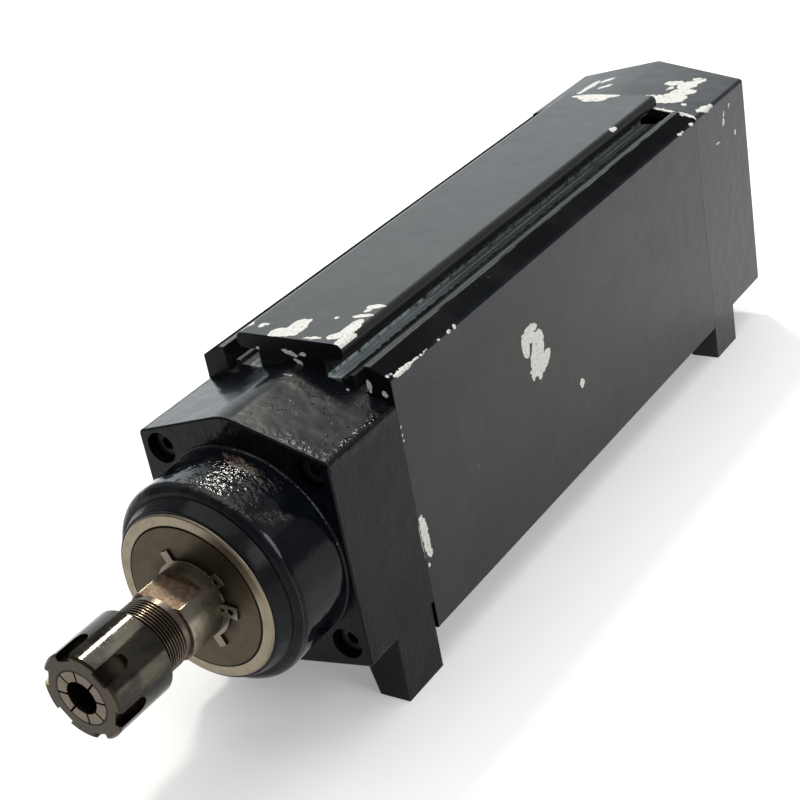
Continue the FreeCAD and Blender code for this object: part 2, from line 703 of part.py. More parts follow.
def make_spindle_shaft():
    body = new_body("spindle_shaft", turn=size("wrench_flat_turn"))
    nose = "-shaft_nose_reach"
    taper_end = "(-shaft_nose_reach + taper_depth)"
    taper_drop = f"taper_depth * {math.tan(math.radians(size('taper_half_angle')))}"
    thread = "thread_diameter / 2"
    relief = "relief_diameter / 2"
    collar = "collar_diameter / 2"
    seat = "rotor_seat_diameter / 2"
    rear_seat = "rear_bearing_bore / 2"
    fan_seat = "fan_seat_diameter / 2"
    fan_back = f"({FAN_FRONT} + fan_width)"
    fan_groove = f"{fan_seat} - clip_groove_depth"
    rear_back = f"{REAR_BEARING_FRONT} + rear_bearing_width"
    revolve(body, [
        (nose, "taper_mouth_diameter / 2"), (nose, f"{thread} - 1"), (f"{nose} + 1", thread),
        ("-thread_end_reach", thread), ("-thread_end_reach", relief), ("-collar_reach", relief),
        ("-collar_reach", f"{collar} - 0.6"), ("-collar_reach + 0.6", collar),
        (f"{DISC_FRONT} - clip_thickness", collar),
        (f"{DISC_FRONT} - clip_thickness", f"{collar} - clip_groove_depth"),
        (DISC_FRONT, f"{collar} - clip_groove_depth"), (DISC_FRONT, collar), (BEARING_FRONT, collar),
        (BEARING_FRONT, FRONT_SEAT), (BEARING_BACK, FRONT_SEAT),
        (BEARING_BACK, f"{FRONT_SEAT} + front_shoulder_height"),
        (f"{BEARING_BACK} + front_shoulder_length", f"{FRONT_SEAT} + front_shoulder_height"),
        (f"{BEARING_BACK} + front_shoulder_length", "shaft_body_diameter / 2"),
        ("rotor_start", "shaft_body_diameter / 2"), ("rotor_start", seat), (REAR_BEARING_FRONT, seat),
        (REAR_BEARING_FRONT, rear_seat), (rear_back, rear_seat), (FAN_FRONT, rear_seat), (FAN_FRONT, fan_seat),
        (fan_back, fan_seat), (fan_back, fan_groove), (f"{fan_back} + clip_thickness", fan_groove),
        (f"{fan_back} + clip_thickness", fan_seat), (f"{SHAFT_TAIL} - 1", fan_seat), (SHAFT_TAIL, f"{fan_seat} - 1"),
        (SHAFT_TAIL, "0"), ("-shaft_nose_reach + tool_bore_depth + 4", "0"),
        ("-shaft_nose_reach + tool_bore_depth", "tool_bore_diameter / 2"),
        (taper_end, "tool_bore_diameter / 2"), (taper_end, f"taper_mouth_diameter / 2 - {taper_drop}")])
    flat = new_sketch(body, "XY_Plane", "wrench_flat_size / 2")
    add_rectangle(flat, "-collar_diameter", "-collar_reach - 0.5", "collar_diameter",
                  "-collar_reach + wrench_flat_length")
    mirror_over(body, pocket(body, flat, "collar_diameter", backwards=True), "XY_Plane")
    keyway = new_sketch(body, "XY_Plane", f"{fan_seat} - fan_key_width / 2")
    key_start = f"{FAN_FRONT} + (fan_width - fan_key_length) / 2"
    add_rectangle(keyway, "-fan_key_width / 2", key_start, "fan_key_width / 2", f"{key_start} + fan_key_length")
    pocket(body, keyway, "fan_key_width", backwards=True)


# Ball bearings: two rings, a cage and a set of balls each

def make_bearing_ring(label, front, width, inner, outer, pitch, ball):
    body = new_body(label, front)
    revolve(body, [("0", inner), (width, inner), (width, outer), ("0", outer)])
    track = new_sketch(body, "YZ_Plane")
    add_circle(track, (f"{width} / 2", pitch), f"{ball} / 2 + groove_clearance")
    revolve_sketch(body, track, "PartDesign::Groove")


def make_cage(label, front, width, pitch, ball, count):
    body = new_body(label, front)
    start = f"{width} * 0.15"
    end = f"{width} * 0.85"
    revolve(body, [(start, f"{pitch} - cage_wall / 2"), (end, f"{pitch} - cage_wall / 2"),
                   (end, f"{pitch} + cage_wall / 2"), (start, f"{pitch} + cage_wall / 2")])
    window = new_sketch(body, "XY_Plane")
    add_circle(window, ("0", f"{width} / 2"), f"{ball} / 2 + 3 * groove_clearance")
    repeat_round(body, pocket(body, window, f"2 * {pitch}", backwards=True), count)


def make_balls(label, front, width, pitch, ball, count):
    members = []
    for i in range(count):
        angle = math.radians(90 + 360 * i / count)
        sphere = doc.addObject("Part::Sphere", "ball")
        bind(sphere, "Radius", f"{ball} / 2")
        bind(sphere, "Placement.Base.x", f"{pitch} * {math.cos(angle):.9f}")
        bind(sphere, "Placement.Base.y", f"{width} / 2")
        bind(sphere, "Placement.Base.z", f"{pitch} * {math.sin(angle):.9f}")
        members.append(sphere)
    group(label, members, front)


def group(label, members, station="0", height="0"):
    compound = doc.addObject("Part::Compound", label)
    compound.Label = label
    compound.Links = members
    place(compound, station, height)
    parts.append(compound)
    return compound


def make_bearing(prefix, front, width, bore, outer, pitch, ball, wall, count):
    make_bearing_ring(f"{prefix}_inner_ring", front, width, f"({bore})", f"({bore} + {wall})", pitch, ball)
    make_bearing_ring(f"{prefix}_outer_ring", front, width, f"({outer} - {wall})", f"({outer})", pitch, ball)
    make_cage(f"{prefix}_cage", front, width, pitch, ball, count)
    make_balls(f"{prefix}_balls", front, width, pitch, ball, count)


def make_bearings():
    second = f"({BEARING_FRONT} + front_bearing_width + front_spacer_width)"
    for prefix, front in (("front_bearing", BEARING_FRONT), ("second_bearing", second)):
        make_bearing(prefix, front, "front_bearing_width", FRONT_SEAT, FRONT_OUTER, FRONT_PITCH,
                     "front_ball_diameter", "front_ring_wall", FRONT_BALLS)
    make_bearing("rear_bearing", REAR_BEARING_FRONT, "rear_bearing_width", "rear_bearing_bore / 2",
                 "rear_bearing_outer / 2", REAR_PITCH, "rear_ball_diameter", "rear_ring_wall", REAR_BALLS)
    between = f"({BEARING_FRONT} + front_bearing_width)"
    for label, inner, outer in (("inner_spacer", FRONT_SEAT, f"{FRONT_SEAT} + front_ring_wall - 0.5"),
                                ("outer_spacer", f"{FRONT_OUTER} - front_ring_wall + 0.5", FRONT_OUTER)):
        body = new_body(label, between)
        revolve(body, [("0", inner), ("front_spacer_width", inner), ("front_spacer_width", outer), ("0", outer)])


def make_wave_spring():
    """Thin ring bent into three waves, as a swept strip closed on itself."""
    station = size(f"{FLANGE_FACE} + {REAR_SEAM} + rear_bearing_width - rear_bearing_overlap")
    rise = size("wave_spring_height")
    thickness = rise * 0.25
    middle = size("rear_bearing_outer / 2 - wave_spring_width / 2 - 0.3")
    half_strip = size("wave_spring_width / 2")
    turns = [2 * math.pi * i / 36 for i in range(36)]

    def curve(radius, offset):
        spots = [Vector(radius * math.cos(a), offset + (rise - thickness) * (0.5 + 0.5 * math.cos(3 * a)),
                        radius * math.sin(a)) for a in turns]
        line = Part.BSplineCurve()
        line.interpolate(spots, PeriodicFlag=True)
        return Part.Wire(line.toShape())

    inside = middle - half_strip
    outside = middle + half_strip
    rims = [curve(inside, 0), curve(outside, 0), curve(outside, thickness), curve(inside, thickness)]
    faces = [Part.makeRuledSurface(rims[i], rims[(i + 1) % 4]) for i in range(4)]
    shell = Part.makeShell([face for side in faces for face in side.Faces])
    solid = Part.makeSolid(shell)
    if solid.Volume < 0:
        solid.reverse()
    spring = doc.addObject("Part::Feature", "wave_spring")
    spring.Label = "wave_spring"
    spring.Shape = solid
    spring.Placement = FreeCAD.Placement(Vector(0, station, size("shaft_height")), FreeCAD.Rotation())
    parts.append(spring)


# Electrical parts

def make_stator_and_rotor():
    stator = new_body("stator_core", "rotor_start")
    bore = "(rotor_diameter / 2 + air_gap)"
    outer = "(stator_bore / 2 - fit_clearance)"
    revolve(stator, [("0", bore), ("rotor_length", bore), ("rotor_length", outer), ("0", outer)])
    inner_rim = f"({bore} + winding_radial_gap)"
    outer_rim = f"({outer} - winding_radial_gap)"
    for label, station in (("front_winding", "rotor_start - winding_length"), ("rear_winding", ROTOR_END)):
        winding = new_body(label, f"({station})")
        revolve(winding, [("0", inner_rim), ("winding_length", inner_rim), ("winding_length", outer_rim),
                          ("0", outer_rim)])
        soften(winding, "winding_corner_radius", lambda edge: curve_kind(edge) == "Part::GeomCircle")

    rotor = new_body("rotor_core", "rotor_start")
    seat = "(rotor_seat_diameter / 2 + fit_clearance)"
    rim = "(rotor_diameter / 2)"
    revolve(rotor, [("0", seat), ("rotor_length", seat), ("rotor_length", rim), ("0", rim)])
    cage_inner = "(shaft_body_diameter / 2 + fit_clearance)"
    cage_rim = f"({rim} - 1)"
    for label, station in (("front_end_ring", "rotor_start - rotor_end_ring_length"), ("rear_end_ring", ROTOR_END)):
        ring = new_body(label, f"({station})")
        revolve(ring, [("0", cage_inner), ("rotor_end_ring_length", cage_inner),
                       ("rotor_end_ring_length", cage_rim), ("0", cage_rim)])


# Cooling fan with its key

def make_fan():
    body = new_body("cooling_fan", FAN_FRONT)
    bore = "(fan_seat_diameter / 2 + fit_clearance)"
    hub = "fan_hub_diameter / 2"
    tip = "fan_diameter / 2"
    revolve(body, [("0", bore), ("fan_width", bore), ("fan_width", hub), ("fan_plate_thickness", hub),
                   ("fan_plate_thickness", tip), ("0", tip)])
    blade = new_sketch(body, "XZ_Plane")
    add_rectangle(blade, "-fan_blade_thickness / 2", f"{hub} - 1", "fan_blade_thickness / 2", tip)
    repeat_round(body, pad(body, blade, "fan_width - 1"), FAN_BLADES)
    keyway = new_sketch(body, "XZ_Plane")
    half_key = "(fan_key_width / 2 + fit_clearance)"
    add_rectangle(keyway, f"-{half_key}", "0", half_key, "fan_seat_diameter / 2 + fan_key_width / 2")
    pocket(body, keyway, "fan_width + 1")

    key = doc.addObject("Part::Box", "fan_key")
    key.Label = "fan_key"
    bind(key, "Length", "fan_key_width")
    bind(key, "Width", "fan_key_length")
    bind(key, "Height", "fan_key_width - 2 * fit_clearance")
    turn = FreeCAD.Rotation(Vector(0, 1, 0), size("wrench_flat_turn"))
    corner = Vector(-size("fan_key_width / 2"), 0, size("fan_seat_diameter / 2 - fan_key_width / 2"))
    spot = turn.multVec(corner)
    station = size(f"{FLANGE_FACE} + {FAN_FRONT} + (fan_width - fan_key_length) / 2")
    key.Placement = FreeCAD.Placement(Vector(spot.x, station, size("shaft_height") + spot.z), turn)
    parts.append(key)
    body.Placement = FreeCAD.Placement(body.Placement.Base, turn)


# Collet with slits from both ends, and the clamping nut around it

def make_collet():
    body = new_body("collet", "-collet_face_reach")
    slope = math.tan(math.radians(size("taper_half_angle")))
    groove_end = "(collet_nose_length + 1.2 + collet_groove_width)"
    mouth = "(collet_face_reach - shaft_nose_reach)"
    taper_rim = "(taper_mouth_diameter / 2 - running_clearance)"
    crown = "collet_max_diameter / 2"
    waist = "collet_groove_diameter / 2"
    bore = "collet_bore_diameter / 2"
    lead = f"({mouth} - {groove_end})"
    revolve(body, [
        ("0", bore), ("0", "collet_face_diameter / 2"), ("collet_nose_length", crown),
        ("collet_nose_length + 1.2", crown), ("collet_nose_length + 1.2", waist), (groove_end, waist),
        (groove_end, f"{taper_rim} + {lead} * {slope}"),
        ("collet_length", f"{taper_rim} - (collet_length - {mouth}) * {slope}"), ("collet_length", bore)])
    front = new_sketch(body, "XY_Plane")
    add_rectangle(front, "-collet_slit_width / 2", "-1", "collet_slit_width / 2", "collet_length - collet_slit_end")
    repeat_round(body, pocket(body, front, "collet_max_diameter", backwards=True), COLLET_SLITS)


def make_collet_nut():
    body = new_body("collet_nut", "-collet_face_reach", turn=-size("nut_slot_turn"))
    rim = "nut_diameter / 2"
    gap = "running_clearance"
    thread = "(thread_diameter / 2 + running_clearance)"
    crown = f"(collet_max_diameter / 2 + {gap})"
    lip_back = f"(collet_nose_length + 1.2 + {gap})"
    lip_end = f"(collet_nose_length + 1.2 + collet_groove_width - {gap})"
    mouth = "(collet_face_reach - shaft_nose_reach)"
    revolve(body, [
        ("0", f"collet_face_diameter / 2 + {gap}"), ("0", f"{rim} - nut_edge_chamfer"),
        ("nut_edge_chamfer", rim), ("nut_length - 0.6", rim), ("nut_length", f"{rim} - 0.6"),
        ("nut_length", thread), (f"{mouth} - 0.5", thread), (f"{mouth} - 0.5", f"{crown} + 0.6"),
        (lip_end, f"{crown} + 0.6"), (lip_end, f"collet_groove_diameter / 2 + {gap}"),
        (lip_back, f"collet_groove_diameter / 2 + {gap}"), (lip_back, crown),
        (f"collet_nose_length", crown)])
    slot_floor = f"({thread} + nut_slot_wall)"
    slot_depth = f"{rim} - {slot_floor} + 1"
    slot = new_sketch(body, "XY_Plane", slot_floor)
    half = "nut_slot_width / 2"
    add_rectangle(slot, f"-{half}", "-1", half, f"nut_slot_length - {half}")
    repeat_round(body, pocket(body, slot, slot_depth, backwards=True), NUT_SLOTS)
    end = new_sketch(body, "XY_Plane", slot_floor)
    add_circle(end, ("0", f"nut_slot_length - {half}"), half)
    repeat_round(body, pocket(body, end, slot_depth, backwards=True), NUT_SLOTS)


# Screws, each set one group of separate solids

def socket_screw(shank, length, head, head_height, socket, socket_depth):
    """Cap screw along the spindle: the head lies ahead of its own origin, the shank behind it."""
    backwards = FreeCAD.Rotation(Vector(1, 0, 0), -90)
    pieces = []
    for diameter, reach, start in ((head, head_height, f"-{head_height}"), (shank, f"{length} + 0.1", "-0.1")):
        cylinder = doc.addObject("Part::Cylinder", "round_bar")
        bind(cylinder, "Radius", f"{diameter} / 2")
        bind(cylinder, "Height", reach)
        cylinder.Placement = FreeCAD.Placement(Vector(), backwards)
        bind(cylinder, "Placement.Base.y", start)
        pieces.append(cylinder)
    blank = doc.addObject("Part::MultiFuse", "screw_blank")
    blank.Shapes = pieces
    hexagon = doc.addObject("Part::Prism", "hexagon")
    hexagon.Polygon = 6
    bind(hexagon, "Circumradius", f"{socket} / {math.sqrt(3)}")
    bind(hexagon, "Height", f"{socket_depth} + 1")
    hexagon.Placement = FreeCAD.Placement(Vector(), backwards)
    bind(hexagon, "Placement.Base.y", f"-{head_height} - 1")
    screw = doc.addObject("Part::Cut", "screw")
    screw.Base = blank
    screw.Tool = hexagon
    return screw


def make_screw_set(label, spots, seat, facing_rear, **sizes):
    members = []
    for across, rise in spots:
        screw = socket_screw(**sizes)
        turn = FreeCAD.Rotation(Vector(0, 0, 1), 180 if facing_rear else 0)
        screw.Placement = FreeCAD.Placement(Vector(), turn)
        bind(screw, "Placement.Base.x", across)
        bind(screw, "Placement.Base.z", rise)
        members.append(screw)
    group(label, members, seat)


def make_screws():
    head = dict(head="screw_head_diameter", head_height="screw_head_height", socket="screw_socket_size",
                socket_depth="screw_socket_depth", shank="screw_diameter")
    seat = "(screw_head_sunk + screw_head_height)"
    make_screw_set("flange_screws", screw_spots(), seat, False,
                   length=f"flange_depth - {seat} + screw_engagement", **head)
    cap_seat = f"({REAR_SEAM} + cap_length - screw_head_height - 1)"
    make_screw_set("cap_screws", screw_spots(), cap_seat, True,
                   length="cap_length - screw_head_height - 1 + screw_engagement", **head)
    make_screw_set("shield_screws", shield_screw_spots(), f"({REAR_SEAM} + shield_thickness)", True,
                   shank="shield_screw_diameter", length="shield_screw_length", head="shield_screw_head",
                   head_height="shield_screw_diameter", socket="3", socket_depth="2.2")


# Cable gland: hexagon body, dome nut and rubber seal, open for a cable

def make_cable_gland():
    station = f"({REAR_SEAM} + cap_length)"
    bore = "(gland_cable_bore / 2 + gland_seal_wall)"
    thread = "gland_thread_diameter / 2"
    body = new_body("gland_body", station)
    bind(body, "Placement.Base.z", "shaft_height - gland_drop")
    revolve(body, [("-cap_rear_wall", bore), ("gland_hex_length + gland_seal_length", bore),
                   ("gland_hex_length + gland_seal_length", f"{thread} - 1"), ("0", f"{thread} - 1"),
                   ("0", thread), ("-cap_rear_wall", thread)])
    hexagon = new_sketch(body, "XZ_Plane")
    add_loop(hexagon, hexagon_corners("gland_hex_size"))
    add_circle(hexagon, ("0", "0"), bore)
    pad(body, hexagon, "gland_hex_length")

    nut = new_body("gland_nut", f"({station} + gland_hex_length)")
    bind(nut, "Placement.Base.z", "shaft_height - gland_drop")
    inside = f"({thread} - 1 + fit_clearance)"
    dome = "gland_nut_diameter / 2"
    mouth = "gland_cable_bore / 2 + 0.8"
    end = "gland_nut_length"
    revolve(nut, [("0", inside), ("gland_seal_length", inside), (f"{end} - 1.5", mouth), (end, mouth),
                  (end, f"{dome} - 2.5"), (f"{end} - 3", dome), ("0", dome)])

    seal = new_body("gland_seal", f"({station} + gland_hex_length)")
    bind(seal, "Placement.Base.z", "shaft_height - gland_drop")
    cable = "gland_cable_bore / 2"
    rim = f"({bore} - fit_clearance)"
    revolve(seal, [("0", cable), ("gland_seal_length", cable), ("gland_seal_length", rim), ("0", rim)])


def hexagon_corners(flats):
    corners = []
    for i in range(6):
        angle = math.radians(60 * i)
        reach = f"{flats} / {math.sqrt(3)}"
        corners.append((f"{reach} * {math.cos(angle):.9f}", f"{reach} * {math.sin(angle):.9f}"))
    return corners


def check_document():
    for item in doc.Objects:
        if "Invalid" in item.State or "Error" in item.State:
            raise RuntimeError(f"{item.Label} failed: {item.State}")
    for feature in cuts:
        before = feature.BaseFeature.Shape.Volume
        if feature.Shape.Volume > before - 1e-3:
            raise RuntimeError(f"{feature.Name} cuts nothing")
    for part in parts:
        if part.Shape.isNull() or not part.Shape.isValid():
            raise RuntimeError(f"{part.Label} has no valid shape")


def write_parts():
    os.makedirs("parts", exist_ok=True)
    for part in parts:
        part.Shape.exportStep(f"parts/{part.Label}.step")
        print(f"{part.Label}: {len(part.Shape.Solids)} solids, {part.Shape.Volume:.0f} mm3")


fill_sheet()
make_front_flange()
make_stator_housing()
make_rear_cap()
make_rear_shield()
make_nose_ring()
make_seal_disc()
make_retaining_ring("retaining_ring", DISC_FRONT, "(collar_diameter / 2 - clip_groove_depth + fit_clearance)",
                    -size("clip_gap_turn"), (size("clip_tab_turn"), size("clip_tab_turn") - 180))
make_retaining_ring("fan_retaining_ring", f"({FAN_FRONT} + fan_width + clip_thickness)",
                    "(fan_seat_diameter / 2 - clip_groove_depth + fit_clearance)")
make_spindle_shaft()
make_bearings()
make_wave_spring()
make_stator_and_rotor()
make_fan()
make_collet()
make_collet_nut()
make_screws()
make_cable_gland()
doc.recompute()
check_document()
write_parts()
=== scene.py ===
import math
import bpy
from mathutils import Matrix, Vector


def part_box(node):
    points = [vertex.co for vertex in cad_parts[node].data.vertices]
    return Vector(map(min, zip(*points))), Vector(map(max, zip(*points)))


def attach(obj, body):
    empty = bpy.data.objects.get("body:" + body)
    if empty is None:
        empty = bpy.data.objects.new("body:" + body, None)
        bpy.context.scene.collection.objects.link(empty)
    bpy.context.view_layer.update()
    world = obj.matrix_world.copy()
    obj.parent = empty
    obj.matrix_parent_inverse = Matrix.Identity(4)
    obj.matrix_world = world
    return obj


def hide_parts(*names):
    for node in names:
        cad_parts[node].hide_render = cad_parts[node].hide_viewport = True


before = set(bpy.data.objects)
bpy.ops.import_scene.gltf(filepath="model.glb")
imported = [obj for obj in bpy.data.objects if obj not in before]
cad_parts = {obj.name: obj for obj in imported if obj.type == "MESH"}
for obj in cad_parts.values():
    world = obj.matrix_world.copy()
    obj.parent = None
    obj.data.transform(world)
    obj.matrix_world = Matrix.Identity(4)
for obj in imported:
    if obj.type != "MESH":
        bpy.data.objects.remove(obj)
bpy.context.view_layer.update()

from types import SimpleNamespace

import bmesh
import bpy
from bpy.props import FloatProperty, FloatVectorProperty, PointerProperty
from mathutils import Matrix, Vector

bl_info = {
    "name": "Spindle Motor Dressing",
    "version": (1, 0, 0),
    "blender": (4, 5, 0),
    "location": "View3D > Sidebar > Spindle Motor",
    "description": "Painted castings, turned nose, cut thread and a studio stage for the spindle motor",
    "category": "Object",
}

# Where the motor lies in the frame: stations run rearwards from the flange's front face, and
# heights are from the spindle axis, both in millimetres.
MM = 0.001
HOUSING_LOW, HOUSING_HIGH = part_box("stator_housing")
FRONT_SEAM = 53.0
FLANGE_FACE = HOUSING_LOW.y / MM - FRONT_SEAM
REAR_SEAM = FRONT_SEAM + (HOUSING_HIGH.y - HOUSING_LOW.y) / MM
SHAFT_HEIGHT = 90.0
SIDE = HOUSING_HIGH.x / MM
PLATE_TOP = HOUSING_HIGH.z / MM - SHAFT_HEIGHT
LAND_TOP = 70.1
WALL_EDGE_TOP = 64.6
NOSE_LIP = -33.0
THREAD_START = -108.4
THREAD_END = -71.4
RIDGE_END = -69.3
ACROSS, ALONG, UP = Vector((1, 0, 0)), Vector((0, 1, 0)), Vector((0, 0, 1))

# In millimetres: a stroke with a shorter run is round, and a stroke reaches this far off its face
SHORTEST_RUN = 0.01
REACH = 2.4


def spot(x, station, height):
    """A point of the motor in the frame, in metres."""
    return Vector((x, FLANGE_FACE + station, SHAFT_HEIGHT + height)) * MM


class Value:
    """A number, colour or vector that varies over a surface. Arithmetic on numbers adds Math nodes."""

    def __init__(self, finish, socket):
        self.finish = finish
        self.socket = socket

    def math(self, operation, *others):
        return self.finish.node("ShaderNodeMath", {"operation": operation}, dict(enumerate((self, *others))))

    def __add__(self, other):
        return self.math("ADD", other)

    def __sub__(self, other):
        return self.math("SUBTRACT", other)

    def __rsub__(self, other):
        return self.finish.node("ShaderNodeMath", {"operation": "SUBTRACT"}, {0: other, 1: self})

    def __mul__(self, other):
        return self.math("MULTIPLY", other)

    def __abs__(self):
        return self.math("ABSOLUTE")

    __radd__ = __add__
    __rmul__ = __mul__


class Finish:
    """A node material. Its vectors are in millimetres: across, station behind the flange, height."""

    def __init__(self, name, **sockets):
        self.material = bpy.data.materials.new(name)
        self.material.use_nodes = True
        self.tree = self.material.node_tree
        self.shader = self.tree.nodes["Principled BSDF"]
        for socket, value in sockets.items():
            self.input(socket).default_value = value
        place = self.node("ShaderNodeTexCoord", outputs="Object")
        self.here = self.node("ShaderNodeVectorMath", {"operation": "MULTIPLY_ADD"},
                              {0: place, 1: (1 / MM,) * 3, 2: (0.0, -FLANGE_FACE, -SHAFT_HEIGHT)})
        split = self.node("ShaderNodeSeparateXYZ", {}, {0: self.here}, outputs=("X", "Y", "Z"))
        self.across, self.station, self.height = split

    def input(self, name):
        """The shader's socket with this name, which is written with underscores and in small letters."""
        return self.shader.inputs[name.replace("_", " ").title().replace("Ior", "IOR")]

    def node(self, kind, settings=None, inputs=None, outputs=0):
        """Adds a node with its settings first and then its inputs, and gives back the outputs asked for."""
        made = self.tree.nodes.new(kind)
        for key, value in (settings or {}).items():
            setattr(made, key, value)
        for key, value in (inputs or {}).items():
            if isinstance(value, Value):
                self.tree.links.new(value.socket, made.inputs[key])
            else:
                made.inputs[key].default_value = value
        if isinstance(outputs, tuple):
            return [Value(self, made.outputs[key]) for key in outputs]
        return Value(self, made.outputs[outputs])

    def noise(self, size, detail=3.0, rough=0.5, at=None, warp=0.0):
        """Smooth noise from 0 to 1 whose lumps are about the given size."""
        return self.node("ShaderNodeTexNoise", {},
                         {"Vector": at or self.here, "Scale": 1.0 / size, "Detail": detail,
                          "Roughness": rough, "Distortion": warp})

    def patches(self, low, high, size, detail=3.0, rough=0.5, at=None, warp=0.0):
        """Patches of about the given size: 0 where the noise is under low, and 1 where it is over high."""
        return self.ramp(self.noise(size, detail, rough, at, warp), low, high)

    def cells(self, size):
        """Distance to the nearest of many scattered points that are about the given size apart."""
        return self.node("ShaderNodeTexVoronoi", {}, {"Vector": self.here, "Scale": 1.0 / size},
                         outputs="Distance")

    def stretched(self, x, y, z):
        """The place on the surface, squeezed along each axis, for grain and streaks."""
        return self.node("ShaderNodeVectorMath", {"operation": "MULTIPLY"}, {0: self.here, 1: (x, y, z)})

    def lathe_marks(self, size):
        """Noise that is drawn out into fine rings round the spindle axis."""
        rings = self.node("ShaderNodeCombineXYZ", {}, {0: self.radius(), 1: self.station, 2: 0.0})
        return self.noise(size, 2.0, 0.6, at=rings)

    def ramp(self, value, low, high):
        """Rises smoothly from 0 to 1 between low and high, or falls when low is the larger."""
        ends = (0.0, 1.0) if low < high else (1.0, 0.0)
        return self.node("ShaderNodeMapRange", {"interpolation_type": "SMOOTHSTEP"},
                         {"Value": value, "From Min": min(low, high), "From Max": max(low, high),
                          "To Min": ends[0], "To Max": ends[1]})

    def band(self, value, low, high, soft):
        """One between low and high, with soft ends."""
        return self.ramp(value, low - soft, low + soft) * self.ramp(value, high + soft, high - soft)

    def mix(self, mask, under, over):
        """Colour that goes from under to over as the mask goes from 0 to 1."""
        sides = [(*side, 1.0) if isinstance(side, tuple) else side for side in (under, over)]
        return self.node("ShaderNodeMix", {"data_type": "RGBA"}, {0: mask, 6: sides[0], 7: sides[1]},
                         outputs=2)

    def wobbly(self, amount, size):
        """The place on the surface, pushed about by noise, so that outlines drawn on it are ragged."""
        push = self.node("ShaderNodeTexNoise", {},
                         {"Vector": self.here, "Scale": 1.0 / size, "Detail": 4.0, "Roughness": 0.62},
                         outputs="Color")
        centred = self.node("ShaderNodeVectorMath", {"operation": "MULTIPLY_ADD"},
                            {0: push, 1: (2 * amount,) * 3, 2: (-amount,) * 3})
        return self.node("ShaderNodeVectorMath", {"operation": "ADD"}, {0: self.here, 1: centred})

    def nearness(self, at, strokes):
        """Distance to the nearest stroke, where 1 is its outline. A stroke is two ends, a half width and a
        vector that stands on its face. A shorter vector gives a stroke that reaches less far off it."""
        nearest = None
        for start, end, half, facing in strokes:
            start, end = Vector(start), Vector(end)
            run = end - start
            lead = run.normalized() if run.length > SHORTEST_RUN else facing.orthogonal().normalized()
            side = facing.cross(lead).normalized()
            turn = Matrix((lead, side, lead.cross(side))).transposed().to_euler()
            scaled = self.node("ShaderNodeMapping", {"vector_type": "TEXTURE"},
                               {"Vector": at, "Location": (start + end) / 2, "Rotation": turn,
                                "Scale": (run.length / 2 + half, half, max(half, REACH * facing.length))})
            reach = self.node("ShaderNodeVectorMath", {"operation": "LENGTH"}, {0: scaled}, outputs="Value")
            nearest = reach if nearest is None else nearest.math("MINIMUM", reach)
        return nearest

    def radius(self):
        """Distance from the spindle axis."""
        return (self.across * self.across + self.height * self.height).math("SQRT")

    def turn(self):
        """Angle round the spindle axis from straight up, towards the right, in degrees."""
        return self.across.math("ARCTAN2", self.height) * (180.0 / math.pi)

    def feed(self, **sockets):
        """Links values to the shader's sockets of these names."""
        for socket, value in sockets.items():
            self.tree.links.new(value.socket, self.input(socket))

    def relief(self, height, depth=1.0):
        """Feeds the surface relief. Depth is how far the height's range of 1 stands, in millimetres."""
        bump = self.node("ShaderNodeBump", {}, {"Height": height, "Strength": 1.0, "Distance": depth * MM},
                         outputs="Normal")
        self.feed(normal=bump)


def tinted(colour, share):
    """The colour, made darker or lighter by a share."""
    return tuple(share * part for part in colour)


# Chips of the paint, placed on the faces they lie on: two ends and a half width, in millimetres

def on_side(marks, level=SIDE):
    """Chips given by station and height on an upright side."""
    return [((level, a, b), (level, c, d), w, ACROSS) for a, b, c, d, w in marks]


def on_top(marks, level=PLATE_TOP):
    """Chips given by place across and station on a level face."""
    return [((a, b, level), (c, d, level), w, UP) for a, b, c, d, w in marks]


def on_front(marks, level=FRONT_SEAM):
    """Chips given by place across and height on a face that looks forwards."""
    return [((a, level, b), (c, level, d), w, ALONG) for a, b, c, d, w in marks]


def on_edge(marks, level=WALL_EDGE_TOP):
    """Thin chips given by place across and station along the edge between a wall's roof and its side."""
    return [((a, b, level), (c, d, level), w, UP * 0.25) for a, b, c, d, w in marks]


def on_roof(marks):
    """Chips given by place across, station and height on a sloping face."""
    facing = Vector((0.25, 0.0, 0.97)).normalized()
    return [((a, b, c), (d, e, f), w, facing) for a, b, c, d, e, f, w in marks]


SIDE_CHIPS = on_side([
    (165.0, 30.5, 180.2, 23.0, 3.0), (167.6, 32.8, 176.4, 31.0, 2.2), (164.4, 28.3, 165.6, 22.3, 3.6),
    (177.4, 22.6, 175.4, 15.6, 5.9), (172.0, 15.5, 172.4, 9.8, 4.8), (183.7, 11.3, 177.9, 7.7, 3.9),
    (170.5, 11.5, 168.4, 6.4, 2.3), (176.0, 8.0, 175.1, 4.8, 2.7), (166.4, 9.8, 167.8, 10.0, 0.7),
    (213.9, -21.2, 214.2, -21.0, 2.4),
    (55.4, -10.5, 56.8, -16.4, 2.5), (55.3, -15.9, 56.9, -23.7, 2.5), (55.6, -22.8, 57.3, -29.0, 2.4),
    (54.1, -8.6, 56.2, -8.3, 1.0), (54.6, -34.5, 54.6, -34.6, 0.9),
    (54.0, 40.2, 54.0, 40.3, 0.5), (54.0, 36.3, 54.0, 36.4, 0.6), (53.9, 33.2, 53.9, 33.3, 0.6),
])
